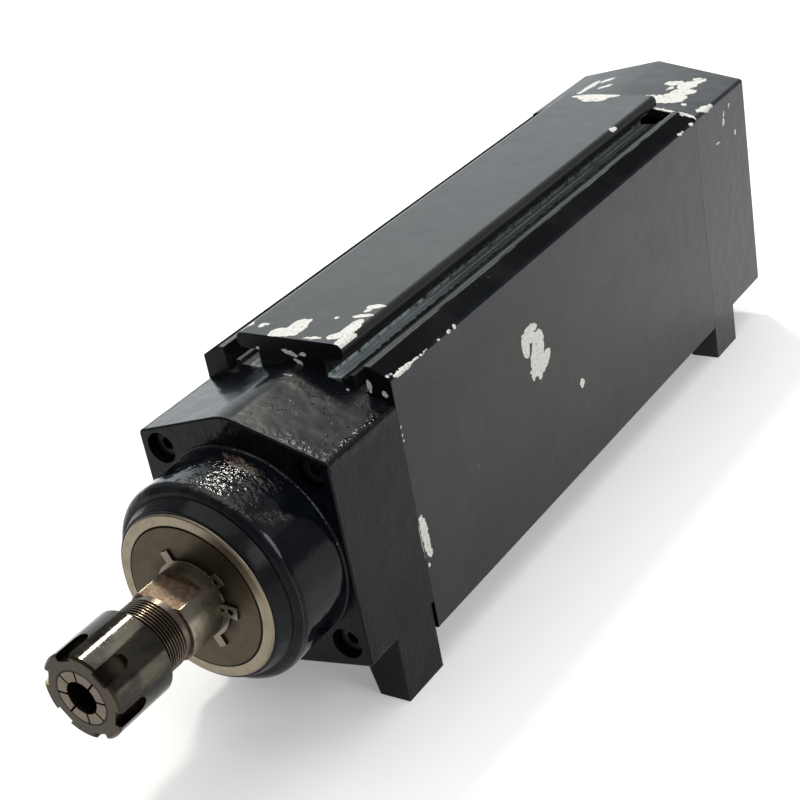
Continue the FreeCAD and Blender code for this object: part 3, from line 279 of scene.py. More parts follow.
TOP_CHIPS = on_top([
    (-31.0, 53.8, -28.4, 62.6, 2.3), (-27.5, 61.1, -27.4, 61.2, 1.4), (-21.5, 61.7, -21.2, 62.9, 1.7),
    (-19.4, 63.5, -19.3, 63.6, 1.1), (-9.7, 55.0, 0.2, 57.5, 2.6), (-8.8, 58.0, -1.1, 60.6, 4.1),
    (-1.7, 61.3, -2.7, 68.1, 4.6), (-0.8, 66.8, -0.8, 71.0, 2.1), (9.2, 55.6, 15.5, 57.1, 1.3),
    (11.1, 77.0, 11.2, 77.1, 1.3), (21.4, 59.4, 25.6, 63.5, 3.0), (29.2, 54.0, 30.4, 62.9, 4.0),
    (25.1, 63.3, 25.1, 75.2, 3.4), (19.8, 80.1, 26.3, 83.3, 1.7), (21.8, 86.2, 22.9, 88.7, 1.5),
    (21.9, 90.9, 26.0, 92.8, 2.3), (-19.0, 374.4, -5.7, 376.4, 2.9), (-12.5, 372.3, 4.2, 378.4, 4.3),
    (-10.1, 368.1, -5.4, 368.9, 2.1), (-2.1, 369.1, 0.3, 371.1, 2.4), (29.8, 325.2, 30.1, 327.8, 2.1),
])
FRONT_CHIPS = on_front([
    (-3.5, 72.8, 3.3, 71.0, 1.3), (6.3, 71.8, 8.3, 72.0, 0.9), (2.2, 68.7, 5.3, 67.8, 1.0),
    (4.9, 66.1, 5.0, 66.1, 0.8), (-19.3, 72.2, -19.2, 72.2, 0.9), (-31.3, 72.0, -31.2, 72.0, 1.0),
    (41.4, 61.8, 42.0, 58.4, 1.4), (49.8, 57.3, 49.9, 57.3, 1.6),
])
EDGE_CHIPS = on_edge([
    (54.2, 57.5, 54.2, 83.9, 0.6), (54.0, 57.5, 54.2, 70.4, 1.5), (54.1, 93.5, 54.1, 94.4, 0.7),
    (54.1, 102.4, 54.1, 103.6, 0.9), (54.1, 107.9, 54.1, 108.4, 1.2), (54.1, 356.2, 54.1, 359.9, 0.9),
    (54.1, 361.4, 54.1, 361.5, 0.8), (54.0, 373.3, 54.0, 374.4, 1.5), (51.2, 53.4, 52.0, 56.5, 1.5),
])
LAND_CHIPS = on_top([(-51.3, 48.6, -50.6, 61.7, 1.9), (46.5, 377.5, 53.5, 377.5, 1.6)], LAND_TOP)
FLANGE_CHIPS = on_roof([
    (3.2, 42.5, 66.6, 6.4, 43.6, 65.8, 0.7), (32.0, 49.9, 58.4, 32.1, 49.9, 58.4, 0.8),
]) + on_side([(53.0, -10.5, 53.0, -29.0, 0.9)])
CAP_CHIPS = on_roof([
    (-36.4, 400.3, 69.6, -33.7, 412.4, 70.2, 2.6), (-34.0, 412.1, 70.1, -32.4, 424.7, 70.4, 3.4),
    (-21.4, 409.3, 72.7, -16.3, 410.8, 73.7, 2.6), (-26.1, 423.9, 71.7, -23.0, 425.7, 72.3, 3.1),
    (20.2, 418.1, 72.9, 24.5, 423.2, 72.0, 3.1), (19.1, 419.7, 73.1, 20.8, 421.5, 72.8, 1.6),
    (23.0, 409.7, 72.3, 24.2, 414.5, 72.1, 1.1), (30.2, 409.7, 70.9, 35.5, 414.2, 69.8, 4.2),
    (29.6, 418.3, 71.0, 32.1, 425.6, 70.5, 4.4), (31.8, 424.3, 70.6, 35.1, 434.5, 69.9, 2.4),
    (30.2, 432.1, 70.9, 32.0, 435.1, 70.5, 1.4), (28.7, 402.1, 71.2, 33.8, 404.2, 70.1, 4.2),
    (25.8, 392.5, 71.8, 34.2, 398.9, 70.1, 4.5), (29.0, 406.7, 71.1, 30.9, 407.9, 70.7, 3.1),
    (15.5, 393.2, 73.9, 19.6, 397.2, 73.0, 1.1), (21.6, 392.0, 72.6, 23.8, 397.8, 72.2, 2.8),
    (40.1, 394.7, 68.9, 40.2, 394.8, 68.9, 1.7), (51.5, 391.4, 66.6, 53.7, 399.2, 66.1, 2.7),
    (53.3, 402.7, 66.2, 53.4, 402.7, 66.2, 1.3), (29.0, 380.6, 71.2, 41.5, 382.5, 68.6, 1.3),
    (41.5, 382.5, 68.6, 53.6, 380.4, 66.1, 1.3), (-8.0, 380.2, 75.4, 6.0, 380.6, 75.8, 1.4),
]) + on_side([
    (425.5, 57.4, 425.5, 57.4, 1.1), (418.1, 55.7, 417.4, 54.0, 0.9), (416.6, 51.1, 416.0, 49.3, 1.3),
    (432.0, 39.2, 431.4, 37.8, 1.2), (404.4, 40.8, 409.9, 40.1, 0.6),
])
RUST_STROKES = [
    ((-1.2, -3.8, 50.0), (7.4, -8.7, 50.0), 1.6, UP), ((5.5, -6.3, 50.0), (13.4, -9.1, 50.0), 3.6, UP),
    ((12.8, -7.1, 50.0), (22.0, -9.5, 48.0), 2.4, UP),
]
SCUFF_STROKES = [((34.0, -27.0, 38.0), (39.5, -17.0, 33.0), 3.4, Vector((0.7, 0.0, 0.7)))]


# Colours of bare paint, dirt, rust and worn steel, and of painted shade, painted highlights and painted
# reflections
CHIP_EDGE_SHADOW = (0.004, 0.004, 0.005)
SEAM_BLACK = (0.003, 0.003, 0.004)
DUST = (0.30, 0.30, 0.29)
LINT = (0.35, 0.35, 0.33)
BRIM_BLACK = (0.0012, 0.0016, 0.0024)
THIN_BROWN = (0.018, 0.014, 0.010)
SCUFF_TAN = (0.085, 0.078, 0.062)
RUST_RED = (0.115, 0.062, 0.044)
RUST_OLIVE = (0.125, 0.115, 0.070)
RUST_DARK = (0.012, 0.009, 0.008)
SIDE_REAR_REFLECTION = (0.021, 0.020, 0.0175)
SIDE_UPPER_REFLECTION = (0.011, 0.014, 0.022)
RUBBED_SIDE = (0.032, 0.030, 0.027)
CAP_SIDE_REFLECTION = (0.019, 0.018, 0.015)
CAP_UPPER_REFLECTION = (0.012, 0.015, 0.025)
CHANNEL_DUST_AND_LIGHT = (0.46, 0.54, 0.56)
CHANNEL_HIGHLIGHT_LINE = (0.95, 1.0, 1.0)
CHANNEL_CRUMBS = (0.30, 0.34, 0.34)
CHANNEL_RIB_SHEEN = (0.06, 0.07, 0.075)
WORN_CREST = (0.20, 0.22, 0.23)
CREVICE_SHADE = (0.006, 0.005, 0.004)
THREAD_GROOVE_DARK = (0.030, 0.024, 0.018)
FLAT_RUST = (0.165, 0.112, 0.074)
FLAT_RUST_DARK = (0.070, 0.046, 0.030)
NECK_SHADOW_BROWN = (0.045, 0.036, 0.025)
ROOT_BLACK = (0.012, 0.010, 0.008)
NUT_OIL = (0.024, 0.024, 0.026)
NUT_FACE = (0.046, 0.036, 0.024)
NUT_BORE_SHADE = (0.004, 0.003, 0.003)
NUT_SLOT = (0.060, 0.046, 0.034)
NUT_GRIME = (0.026, 0.021, 0.016)


def chipped(finish, colour, rough, strokes, undercoat, ragged=1.7):
    """Shows the stained undercoat through ragged chips with a dark line of painted shadow round them, and
    gives back the colour, the roughness and where the paint is gone."""
    nearest = finish.nearness(finish.wobbly(ragged, 3.0), strokes)
    bare = finish.ramp(nearest, 1.05, 0.95)
    # Painted shadow: a dark line just outside each chip stands in for the shade of the paint's edge.
    outline = finish.ramp(nearest, 1.34, 1.12) - finish.ramp(nearest, 1.12, 1.02)
    stain = finish.patches(0.48, 0.72, 1.6, 4.0, 0.6) * finish.ramp(nearest, 0.98, 0.8)
    primer = finish.mix(stain, undercoat, tinted(undercoat, 0.58))
    colour = finish.mix(outline.math("MAXIMUM", 0.0) * 0.75, colour, CHIP_EDGE_SHADOW)
    return finish.mix(bare, colour, primer), rough + bare * 0.3, bare


def dusted(finish, colour, spacing):
    """Faint pale dust, and specks of it that lie thicker in some places than in others."""
    specks = finish.ramp(finish.cells(spacing), 0.09, 0.05) * finish.patches(0.48, 0.64, 28.0, 2.0)
    haze = finish.patches(0.42, 0.75, 34.0, 4.0, 0.6) * 0.02
    return finish.mix((specks * 0.4 + haze).math("MINIMUM", 1.0), colour, DUST)


def cast_zones(finish):
    """Where each part of the front casting lies, from 0 to 1."""
    across, station, height = finish.across, finish.station, finish.height
    turn = finish.turn() + (finish.noise(9.0, 3.0) - 0.5) * 26.0
    body = finish.ramp(station, 0.2, -0.6) * finish.ramp(station, -34.6, -33.2)
    roof = finish.ramp(height + abs(across) * 0.291, 64.6, 66.2) * finish.ramp(station, -0.2, 0.6)
    right_roof = roof * finish.ramp(across, -4.0, 6.0)
    rear = finish.ramp(station + finish.noise(12.0) * 16.0, 38.0, 54.0)
    brim = finish.ramp(abs(across) + (finish.noise(5.0, 3.0) - 0.5) * 5.0, 50.4, 52.0)
    return SimpleNamespace(
        crest=body * finish.band(turn, -5.0, 36.0, 5.0),
        left=body * finish.ramp(turn, -2.0, -14.0),
        lip=finish.ramp(station, -30.5, NOSE_LIP),
        face=finish.ramp(station, 1.6, 0.6) * finish.ramp(finish.radius(), 51.6, 53.4),
        flank=finish.ramp(abs(across), 53.2, 53.9) * finish.ramp(station, 1.0, 3.0),
        right_roof=right_roof,
        left_roof=roof * finish.ramp(across, 4.0, -6.0),
        corner=right_roof * finish.ramp(station, 13.0, 2.0) * finish.ramp(across, 12.0, 38.0),
        creased=right_roof * rear * finish.ramp(across, 2.0, 14.0),
        brim=brim * finish.ramp(height, 45.0, 50.5) * finish.ramp(station, 0.5, 2.0),
        crumbs=finish.ramp(finish.cells(3.4), 0.22, 0.07) * finish.patches(0.46, 0.58, 13.0, 2.0),
    )


def cast_relief(finish, zone):
    """Lumps, creases, wrinkles and crumbs of the thick paint, each on its own part of the casting."""
    grains = finish.noise(2.3, 2.0, 0.5)
    lumps = finish.noise(4.2, 3.0, 0.55, warp=0.5)
    swell = finish.noise(15.0, 2.0, 0.5)
    creases = finish.noise(2.6, 3.0, 0.55, at=finish.stretched(1.0, 0.45, 1.0), warp=0.6)
    wrinkles = finish.noise(1.5, 2.0, 0.5, at=finish.stretched(1.0, 0.30, 1.0), warp=0.3)
    brushed = finish.noise(1.6, 3.0, 0.6, at=finish.stretched(1.0, 1.0, 0.22))
    return (grains * (0.01 + zone.crest * 0.54 + zone.corner * 0.44)
            + lumps * (0.05 + zone.crest * 0.26 + zone.left * 0.12 + zone.corner * 0.14 + zone.face * 0.22)
            + creases * zone.creased * 0.22 + wrinkles * zone.left_roof * 0.13
            + brushed * zone.flank * 0.09 + zone.crumbs * (zone.right_roof * 0.34 + zone.flank * 0.14)
            + lumps * zone.brim * 0.55 + swell * (0.45 + zone.lip * 0.5))


def cast_paint(name, settings, gloss):
    """Thick gloss paint over a rough casting: lumpy on top of the nose and smooth on its right, with a thin
    crest, a scuff, rust, lint specks and a dark brim between roof and sides."""
    finish = Finish(name, specular_ior_level=gloss)
    zone = cast_zones(finish)
    black = tuple(settings.cast_colour)
    colour = finish.mix(finish.patches(0.45, 0.75, 12.0, 4.0, 0.6), black, tinted(black, 2.0))
    thin = zone.crest * finish.patches(0.46, 0.66, 6.0, 4.0, 0.65)
    colour = finish.mix(thin * 0.5, colour, THIN_BROWN)
    scuff = finish.ramp(finish.nearness(finish.wobbly(5.0, 5.0), SCUFF_STROKES), 1.2, 0.5)
    scuff = scuff * finish.patches(0.42, 0.6, 1.3, 3.0, 0.6)
    colour = finish.mix(scuff * 0.5, colour, SCUFF_TAN)
    rust = finish.ramp(finish.nearness(finish.wobbly(2.6, 3.0), RUST_STROKES), 1.1, 0.7)
    rust = rust * finish.patches(0.34, 0.50, 2.0, 4.0, 0.7)
    olive = finish.ramp(finish.across + finish.noise(3.0) * 6.0, 12.0, 16.0)
    stain = finish.mix(olive, RUST_RED, RUST_OLIVE)
    stain = finish.mix(finish.patches(0.42, 0.56, 1.1, 3.0), stain, RUST_DARK)
    colour = finish.mix(rust, colour, stain)
    specks = finish.ramp(finish.cells(8.0), 0.05, 0.03) * finish.patches(0.5, 0.6, 26.0, 2.0)
    colour = finish.mix(specks * 0.6, colour, LINT)
    colour = finish.mix(zone.brim, colour, BRIM_BLACK)
    rough = (0.06 + finish.noise(7.0, 3.0) * 0.05 + zone.right_roof * (0.19 - zone.crumbs * 0.13)
             + zone.left_roof * 0.12 + zone.flank * (0.17 - zone.crumbs * 0.10) - zone.brim * 0.08
             + zone.face * 0.08 + zone.lip * 0.20 + rust * 0.4 + scuff * 0.15)
    primer = tinted(tuple(settings.undercoat_colour), 0.45)
    colour, rough, bare = chipped(finish, colour, rough, FLANGE_CHIPS, primer)
    finish.relief(cast_relief(finish, zone) - bare * 0.12)
    finish.feed(base_color=colour, roughness=rough)
    return finish.material


def channel_dirt_and_highlights(finish, colour):
    """Ragged pale strips on the channel floors, partly dust and partly painted light that lifts the floor
    out of the shade under the rail plate, a painted highlight line along a ridge of each floor, a grey
    painted highlight on the rib's top, and crumbs in the channels beside the rail, more of the crumbs
    towards the rear. Gives back the colour, the relief and where the channels are."""
    across, station, height = abs(finish.across), finish.station, finish.height
    channel = finish.band(height, 55.0, 66.0, 0.6) * finish.ramp(across, 41.2, 40.6)
    floor = finish.ramp(height, 63.4, 62.9)
    far = finish.ramp(station, 120.0, 175.0)
    grit = finish.noise(1.3, 4.0, 0.7)
    clods = finish.patches(0.46, 0.62, 4.0, 4.0, 0.65)
    torn = across + (finish.noise(4.5, 4.0, 0.65) - 0.5) * 6.0
    # Painted light: the pale strip is partly dust and partly lifts the floor out of the shade under the rail
    # plate.
    strip = channel * finish.band(torn, 18.6, 26.4, 0.6) * floor
    holes = finish.patches(0.60, 0.68, 2.6, 4.0, 0.7)
    colour = finish.mix(strip * (1.0 - holes * 0.8) * (0.95 - far * 0.55), colour, CHANNEL_DUST_AND_LIGHT)
    crumbs = channel * finish.ramp(grit, 0.50, 0.62) * (0.06 + far * (0.30 + clods * 0.60))
    colour = finish.mix(crumbs, colour, CHANNEL_CRUMBS)
    # Painted highlight: a near-white line along a glossy ridge of the channel floor.
    line = finish.band(across, 21.9, 22.6, 0.2) * floor
    line = line * finish.patches(0.34, 0.48, 5.0, 3.0, 0.6, at=finish.stretched(1.0, 0.2, 1.0))
    colour = finish.mix(line * channel * 0.9, colour, CHANNEL_HIGHLIGHT_LINE)
    # Painted highlight: the rib's top is painted light bluish grey as if it caught the light.
    rib = finish.band(across, 31.6, 34.4, 0.2) * finish.ramp(height, 64.0, 64.3) * channel
    colour = finish.mix(rib * 0.6, colour, CHANNEL_RIB_SHEEN)
    return colour, channel * (clods * 0.3 + grit * 0.5) * (0.3 + far * 0.7), channel


def worn_edges(finish, colour):
    """Grey wear along the long edges of the rail plate and of the lands beside it."""
    across, height = abs(finish.across), finish.height
    worn = finish.patches(0.40, 0.58, 3.0, 3.0, 0.6, at=finish.stretched(1.0, 0.12, 1.0))
    crest = finish.ramp(height, 69.4, 69.9)
    plate_edge = finish.band(across, 40.2, 40.9, 0.3) * crest
    land_edge = finish.band(across, 43.2, 43.9, 0.3) * crest
    return finish.mix(plate_edge.math("MAXIMUM", land_edge) * worn * 0.5, colour, WORN_CREST)


def housing_paint(name, settings, strokes, gloss):
    """Semi-gloss charcoal paint on an extrusion, with a painted reflection on its sides that lightens them
    towards the rear and darkens them to a bluish tone near the top, and with the chips of the faces that
    look one way."""
    finish = Finish(name, specular_ior_level=gloss)
    station, height = finish.station, finish.height
    paint = tuple(settings.paint_colour)
    tone = finish.noise(46.0, 3.0, 0.5, at=finish.stretched(1.0, 0.45, 1.0))
    colour = finish.mix(tone, tinted(paint, 0.8), tinted(paint, 1.2))
    flank = finish.ramp(abs(finish.across), 52.6, 53.6)
    # Painted reflection: the sides lighten from front to rear and turn dark and bluish near their top.
    side_reflection = finish.mix(finish.ramp(station, 60.0, 390.0), tinted(paint, 0.45), SIDE_REAR_REFLECTION)
    upper_reflection = finish.ramp(height + station * 0.1, 58.0, 72.0)
    colour = finish.mix(flank * 0.9, colour, finish.mix(upper_reflection * 0.7, side_reflection, SIDE_UPPER_REFLECTION))
    rubs = finish.patches(0.50, 0.74, 20.0, 5.0, 0.65, at=finish.stretched(1.0, 0.8, 0.5), warp=0.8)
    colour = finish.mix(rubs * flank * 0.35, colour, RUBBED_SIDE)
    colour, dirt_and_shade, channel = channel_dirt_and_highlights(finish, colour)
    colour = dusted(finish, worn_edges(finish, colour), 6.5)
    seam = finish.ramp(station, FRONT_SEAM + 0.9, FRONT_SEAM + 0.2)
    colour = finish.mix(seam * 0.8, colour, SEAM_BLACK)
    rough = 0.27 + finish.noise(9.0, 3.0) * 0.10 + rubs * flank * 0.10 + channel * 0.25
    colour, rough, bare = chipped(finish, colour, rough, strokes, tuple(settings.undercoat_colour))
    peel = finish.noise(1.6, 2.0) * 0.035 + finish.noise(22.0, 2.0) * 0.30
    drag = finish.noise(1.0, 2.0, at=finish.stretched(1.0, 0.06, 1.0)) * 0.012
    finish.relief(peel + drag + dirt_and_shade - bare * 0.14)
    finish.feed(base_color=colour, roughness=rough)
    return finish.material


def cap_paint(name, settings):
    """The same charcoal paint on the smooth rear casting, with a painted reflection on its sides, warm and
    lighter below and bluish near the top.
    """
    finish = Finish(name, specular_ior_level=0.38)
    paint = tuple(settings.paint_colour)
    tone = finish.noise(30.0, 4.0, 0.55)
    colour = finish.mix(tone, tinted(paint, 0.85), tinted(paint, 1.25))
    # Painted reflection on the sides: warm and lighter below, bluish near the top.
    upper_reflection = finish.ramp(finish.height - finish.station * 0.1, -30.0, -10.0)
    flank = finish.ramp(abs(finish.across), 52.6, 53.6)
    colour = finish.mix(flank * 0.8, colour, finish.mix(upper_reflection, CAP_SIDE_REFLECTION, CAP_UPPER_REFLECTION))
    colour = dusted(finish, colour, 7.5)
    rough = 0.28 + finish.noise(7.0, 3.0) * 0.12
    seam = finish.ramp(finish.station, REAR_SEAM + 0.9, REAR_SEAM + 0.3)
    colour = finish.mix(seam * 0.7, colour, SEAM_BLACK)
    colour, rough, bare = chipped(finish, colour, rough, CAP_CHIPS, tuple(settings.undercoat_colour), 2.3)
    skin = finish.noise(2.2, 3.0, 0.5) * 0.05 + finish.noise(16.0, 2.0) * 0.4
    finish.relief(skin - bare * 0.14)
    finish.feed(base_color=colour, roughness=rough)
    return finish.material


def turned_steel(name, colour, tarnish, rough, grooves=0.55, amount=0.6, hub=None):
    """Steel cut on a lathe: fine rings round the spindle axis, a patchy brown tarnish, painted shade in the
    gap between ring and disc and round the collet's front and, where a hub radius is given, painted shade
    that darkens the steel round the hub."""
    finish = Finish(name, metallic=1.0)
    reach = finish.radius()
    marks = finish.lathe_marks(grooves)
    patches = finish.patches(0.38, 0.74, 7.5, 5.0, 0.65, warp=0.5)
    stains = finish.patches(0.52, 0.72, 1.8, 4.0, 0.7)
    grime = (patches * 0.6 + stains * 0.35).math("MINIMUM", 1.0) * amount
    shade = finish.mix(marks, tinted(colour, 0.86), tinted(colour, 1.14))
    shade = finish.mix(grime, shade, tarnish)
    if hub:
        # Painted shade: the steel darkens towards the hub as if the collar and retaining ring shaded it.
        dirt_and_shade = finish.ramp(reach + (finish.noise(6.0, 4.0, 0.6) - 0.5) * 7.0, hub + 8.5, hub + 1.5)
        shade = finish.mix(dirt_and_shade * 0.62, shade, tinted(tarnish, 0.30))
    # Painted shade: dark lines in the gap between ring and disc and round the collet's front.
    disc_gap = finish.band(reach, 35.7, 36.65, 0.1)
    collet_gap = finish.ramp(finish.station, -110.0, -112.0) * finish.ramp(reach, 12.75, 12.95)
    shade = finish.mix(disc_gap.math("MAXIMUM", collet_gap) * 0.92, shade, CREVICE_SHADE)
    finish.relief(marks * 0.012 + finish.noise(1.4, 3.0) * 0.010 + patches * 0.02)
    finish.feed(base_color=shade, roughness=rough - 0.05 + marks * 0.08 + grime * 0.16)
    return finish.material


def thread_steel(name, colour, tarnish):
    """Worn thread: bright along its crest and darker down in the groove."""
    finish = Finish(name, metallic=1.0)
    crest = finish.ramp(finish.radius(), 16.55, 17.10)
    stains = finish.patches(0.42, 0.66, 3.0, 4.0, 0.6)
    shade = finish.mix(stains * 0.6, colour, tarnish)
    shade = finish.mix(crest, THREAD_GROOVE_DARK, shade)
    finish.relief(finish.noise(0.9, 3.0) * 0.02)
    finish.feed(base_color=shade, roughness=0.42 - crest * 0.16 + stains * 0.1)
    return finish.material


def shaft_steel(name, colour, tarnish):
    """The shaft's steel: a worn collar, rusty wrench flats, a dark root under the thread, and a painted
    shadow on the neck in front of the collar.
    """
    finish = Finish(name, metallic=1.0)
    station, reach = finish.station, finish.radius()
    marks = finish.lathe_marks(0.7)
    patches = finish.patches(0.40, 0.72, 6.0, 5.0, 0.65, warp=0.5)
    flat = finish.band(station, -66.5, -50.6, 0.3) * finish.ramp(reach, 17.75, 17.55)
    blotches = finish.patches(0.36, 0.64, 2.6, 5.0, 0.7)
    shade = finish.mix(marks, tinted(colour, 0.85), tinted(colour, 1.15))
    shade = finish.mix(patches * 0.55, shade, tarnish)
    shade = finish.mix(flat * 0.9, shade, finish.mix(blotches, FLAT_RUST, FLAT_RUST_DARK))
    # Painted shadow: a dark brown band on the neck where the collar's chamfer throws shade.
    shade = finish.mix(finish.band(station, -70.0, -66.2, 0.3) * 0.55, shade, NECK_SHADOW_BROWN)
    root = finish.ramp(station, RIDGE_END + 0.2, RIDGE_END - 0.2) * finish.ramp(reach, 15.0, 15.8)
    shade = finish.mix(root, shade, ROOT_BLACK)
    finish.relief(marks * 0.010 + finish.noise(1.2, 3.0) * 0.015 + flat * blotches * 0.03)
    finish.feed(base_color=shade,
                roughness=0.23 + marks * 0.07 + patches * 0.10 + flat * 0.20 + root * 0.2)
    return finish.material


def nut_steel(name, colour):
    """Burnished dark steel, browner on its front face, with painted shade round its bore and in the slots.
    """
    finish = Finish(name, metallic=1.0)
    station, reach = finish.station, finish.radius()
    smear = finish.noise(9.0, 4.0, 0.6, at=finish.stretched(1.0, 0.5, 1.0), warp=0.4)
    scratches = finish.noise(0.6, 2.0, at=finish.stretched(1.0, 0.06, 1.0))
    shade = finish.mix(finish.ramp(smear, 0.3, 0.7), tinted(colour, 0.7), tinted(colour, 1.3))
    oily = finish.patches(0.44, 0.60, 15.0, 3.0, 0.55, at=finish.stretched(1.0, 0.7, 1.0))
    shade = finish.mix(oily * 0.7, shade, NUT_OIL)
    face = finish.ramp(station, -115.6, -116.3)
    shade = finish.mix(face * 0.9, shade, NUT_FACE)
    # Painted shade: the front face goes near black round the bore, at the gap to the collet.
    mouth = face * finish.ramp(reach, 14.1, 13.6)
    shade = finish.mix(mouth * 0.95, shade, NUT_BORE_SHADE)
    # Painted shade in the slots: black towards the front, brown further back.
    slots = finish.ramp(reach, 20.6, 19.6) * finish.ramp(station, -116.2, -115.6)
    slot_shade = finish.mix(finish.ramp(station, -112.0, -103.0), CREVICE_SHADE, NUT_SLOT)
    shade = finish.mix(slots * 0.9, shade, slot_shade)
    pits = finish.patches(0.60, 0.72, 1.2, 4.0, 0.7)
    grime = finish.patches(0.54, 0.72, 4.2, 5.0, 0.7)
    shade = finish.mix(grime * 0.4 + pits * 0.4, shade, NUT_GRIME)
    finish.relief(scratches * 0.006 + finish.noise(1.6, 3.0) * 0.014 - pits * 0.015)
    finish.feed(base_color=shade,
                roughness=0.06 + smear * 0.06 + grime * 0.12 + slots * 0.28 + face * 0.22)
    return finish.material


def plain_metal(name, colour, rough=0.35, metallic=1.0, size=2.5, spread=0.25):
    """Metal or enamel with light patchiness, for small and inner pieces."""
    finish = Finish(name, metallic=metallic)
    patch = finish.noise(size * 2.5, 4.0, 0.6)
    shade = finish.mix(patch, tinted(colour, 1 - spread), tinted(colour, 1 + spread))
    finish.relief(finish.noise(size * 0.4, 3.0), 0.02)
    finish.feed(base_color=shade, roughness=rough - 0.05 + finish.noise(size, 3.0) * 0.14)
    return finish.material


SHEET_EDGE = (0.03, 0.03, 0.035)
SHEET_THICKNESS = 0.5


def laminated(name, colour):
    """A stack of thin electrical sheet: fine lines across the spindle axis."""
    finish = Finish(name, metallic=0.8)
    sheets = (finish.station * (2 * math.pi / SHEET_THICKNESS)).math("SINE") * 0.5 + 0.5
    blue = finish.noise(8.0, 3.0)
    shade = finish.mix(blue, colour, tinted(colour, 0.7))
    finish.relief(sheets, 0.05)
    finish.feed(base_color=finish.mix(sheets * 0.4, shade, SHEET_EDGE), roughness=0.4 + blue * 0.1)
    return finish.material


def wound(name, colour):
    """Resin-dipped wire bundles round the spindle axis."""
    finish = Finish(name)
    around = finish.height.math("ARCTAN2", finish.across) * 60.0
    wires = (around + finish.station * 2.2 + finish.noise(5.0) * 3.0).math("SINE") * 0.5 + 0.5
    shade = finish.mix(wires, tinted(colour, 0.5), colour)
    finish.relief(wires, 0.4)
    finish.feed(base_color=shade, roughness=0.3 + wires * 0.2)
    return finish.material


def moulded(name, colour, rough=0.5):
    """Moulded plastic or rubber with a fine grain."""
    finish = Finish(name)
    grain = finish.noise(0.6, 3.0)
    shade = finish.mix(finish.noise(9.0, 3.0), tinted(colour, 0.8), tinted(colour, 1.25))
    finish.relief(grain, 0.02)
    finish.feed(base_color=shade, roughness=rough - 0.06 + grain * 0.12)
    return finish.material


WELD_GAP = 3e-6
SHORTEST_EDGE = 1e-6
SMOOTH_LIMIT = math.radians(28)
CAST_SMOOTH_LIMIT = math.radians(35)
THREAD_SMOOTH_LIMIT = math.radians(30)
FLAT_LIMIT = math.radians(0.2)
BEVEL_LIMIT = math.radians(40)


def welded_copy(node):
    """The CAD node's faces, joined where they meet, ready to be dressed."""
    shape = bmesh.new()
    shape.from_mesh(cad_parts[node].data)
    bmesh.ops.remove_doubles(shape, verts=shape.verts, dist=WELD_GAP)
    bmesh.ops.dissolve_degenerate(shape, dist=SHORTEST_EDGE, edges=shape.edges)
    return shape


def set_shading(shape, limit):
    """Smooth faces that stay crisp along edges sharper than the limit."""
    for face in shape.faces:
        face.smooth = True
    for edge in shape.edges:
        edge.smooth = edge.is_manifold and edge.calc_face_angle(0.0) < limit


def finished_piece(name, shape, material, body, slot, replaced=(), limit=SMOOTH_LIMIT, bevel=0.0):
    """Makes the object, gives it its finish, ties it to its body and hides the CAD nodes it replaces. The
    bevel is in millimetres. The slot is not used."""
    set_shading(shape, limit)
    mesh = bpy.data.meshes.new(name)
    shape.to_mesh(mesh)
    shape.free()
    mesh.materials.clear()
    mesh.materials.append(material)
    for face in mesh.polygons:
        face.material_index = 0
    piece = bpy.data.objects.new(name, mesh)
    bpy.context.scene.collection.objects.link(piece)
    if bevel:
        rounding = piece.modifiers.new("edges", "BEVEL")
        rounding.width = bevel * MM
        rounding.segments = 2
        rounding.limit_method = "ANGLE"
        rounding.angle_limit = BEVEL_LIMIT
        rounding.use_clamp_overlap = True
    normals = piece.modifiers.new("normals", "WEIGHTED_NORMAL")
    normals.mode = "FACE_AREA"
    normals.weight = 80
    normals.keep_sharp = True
    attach(piece, body)
    if replaced:
        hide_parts(*replaced)
    return piece


def dress(node, name, material, body, slot, **options):
    """Puts a finished copy in the place of a CAD node."""
    shape = welded_copy(node)
    bmesh.ops.dissolve_limit(shape, angle_limit=FLAT_LIMIT, use_dissolve_boundaries=False,
                             verts=shape.verts, edges=shape.edges, delimit=set())
    return finished_piece(name, shape, material, body, slot, replaced=(node,), **options)


def paint_node(node, material):
    """Gives an inner CAD node, which stays as it is, its finish."""
    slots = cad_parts[node].data.materials
    slots.clear()
    slots.append(material)


# In millimetres: how far the thread's ridge sinks into the shaft, how far the shaft is thinned in front of
# the thread, and what its last ring of corners may be off
THREAD_SINK = 0.05
THREAD_LEAD = 1.2
THREAD_SLACK = 0.01
STEPS_PER_TURN = 56


def cut_thread(settings):
    """A helical ridge round the spindle axis, from the thread's front end to a little past its rear one."""
    shape = bmesh.new()
    pitch = settings.thread_pitch / MM
    root = settings.thread_root / MM - THREAD_SINK
    crest = settings.thread_crest / MM
    profile = [(0.06, root), (0.40, crest), (0.60, crest), (0.94, root)]
    corners = [shape.verts.new(spot(0.0, THREAD_START + along * pitch, reach)) for along, reach in profile]
    start = shape.faces.new(corners)
    turns = (RIDGE_END - THREAD_START - pitch) / pitch
    bmesh.ops.spin(shape, geom=[start, *start.edges, *corners], cent=spot(0.0, 0.0, 0.0), axis=ALONG,
                   dvec=ALONG * (pitch * MM / STEPS_PER_TURN), angle=2 * math.pi * turns,
                   steps=round(STEPS_PER_TURN * turns), use_merge=False, use_duplicate=False)
    bmesh.ops.recalc_face_normals(shape, faces=shape.faces)
    return shape


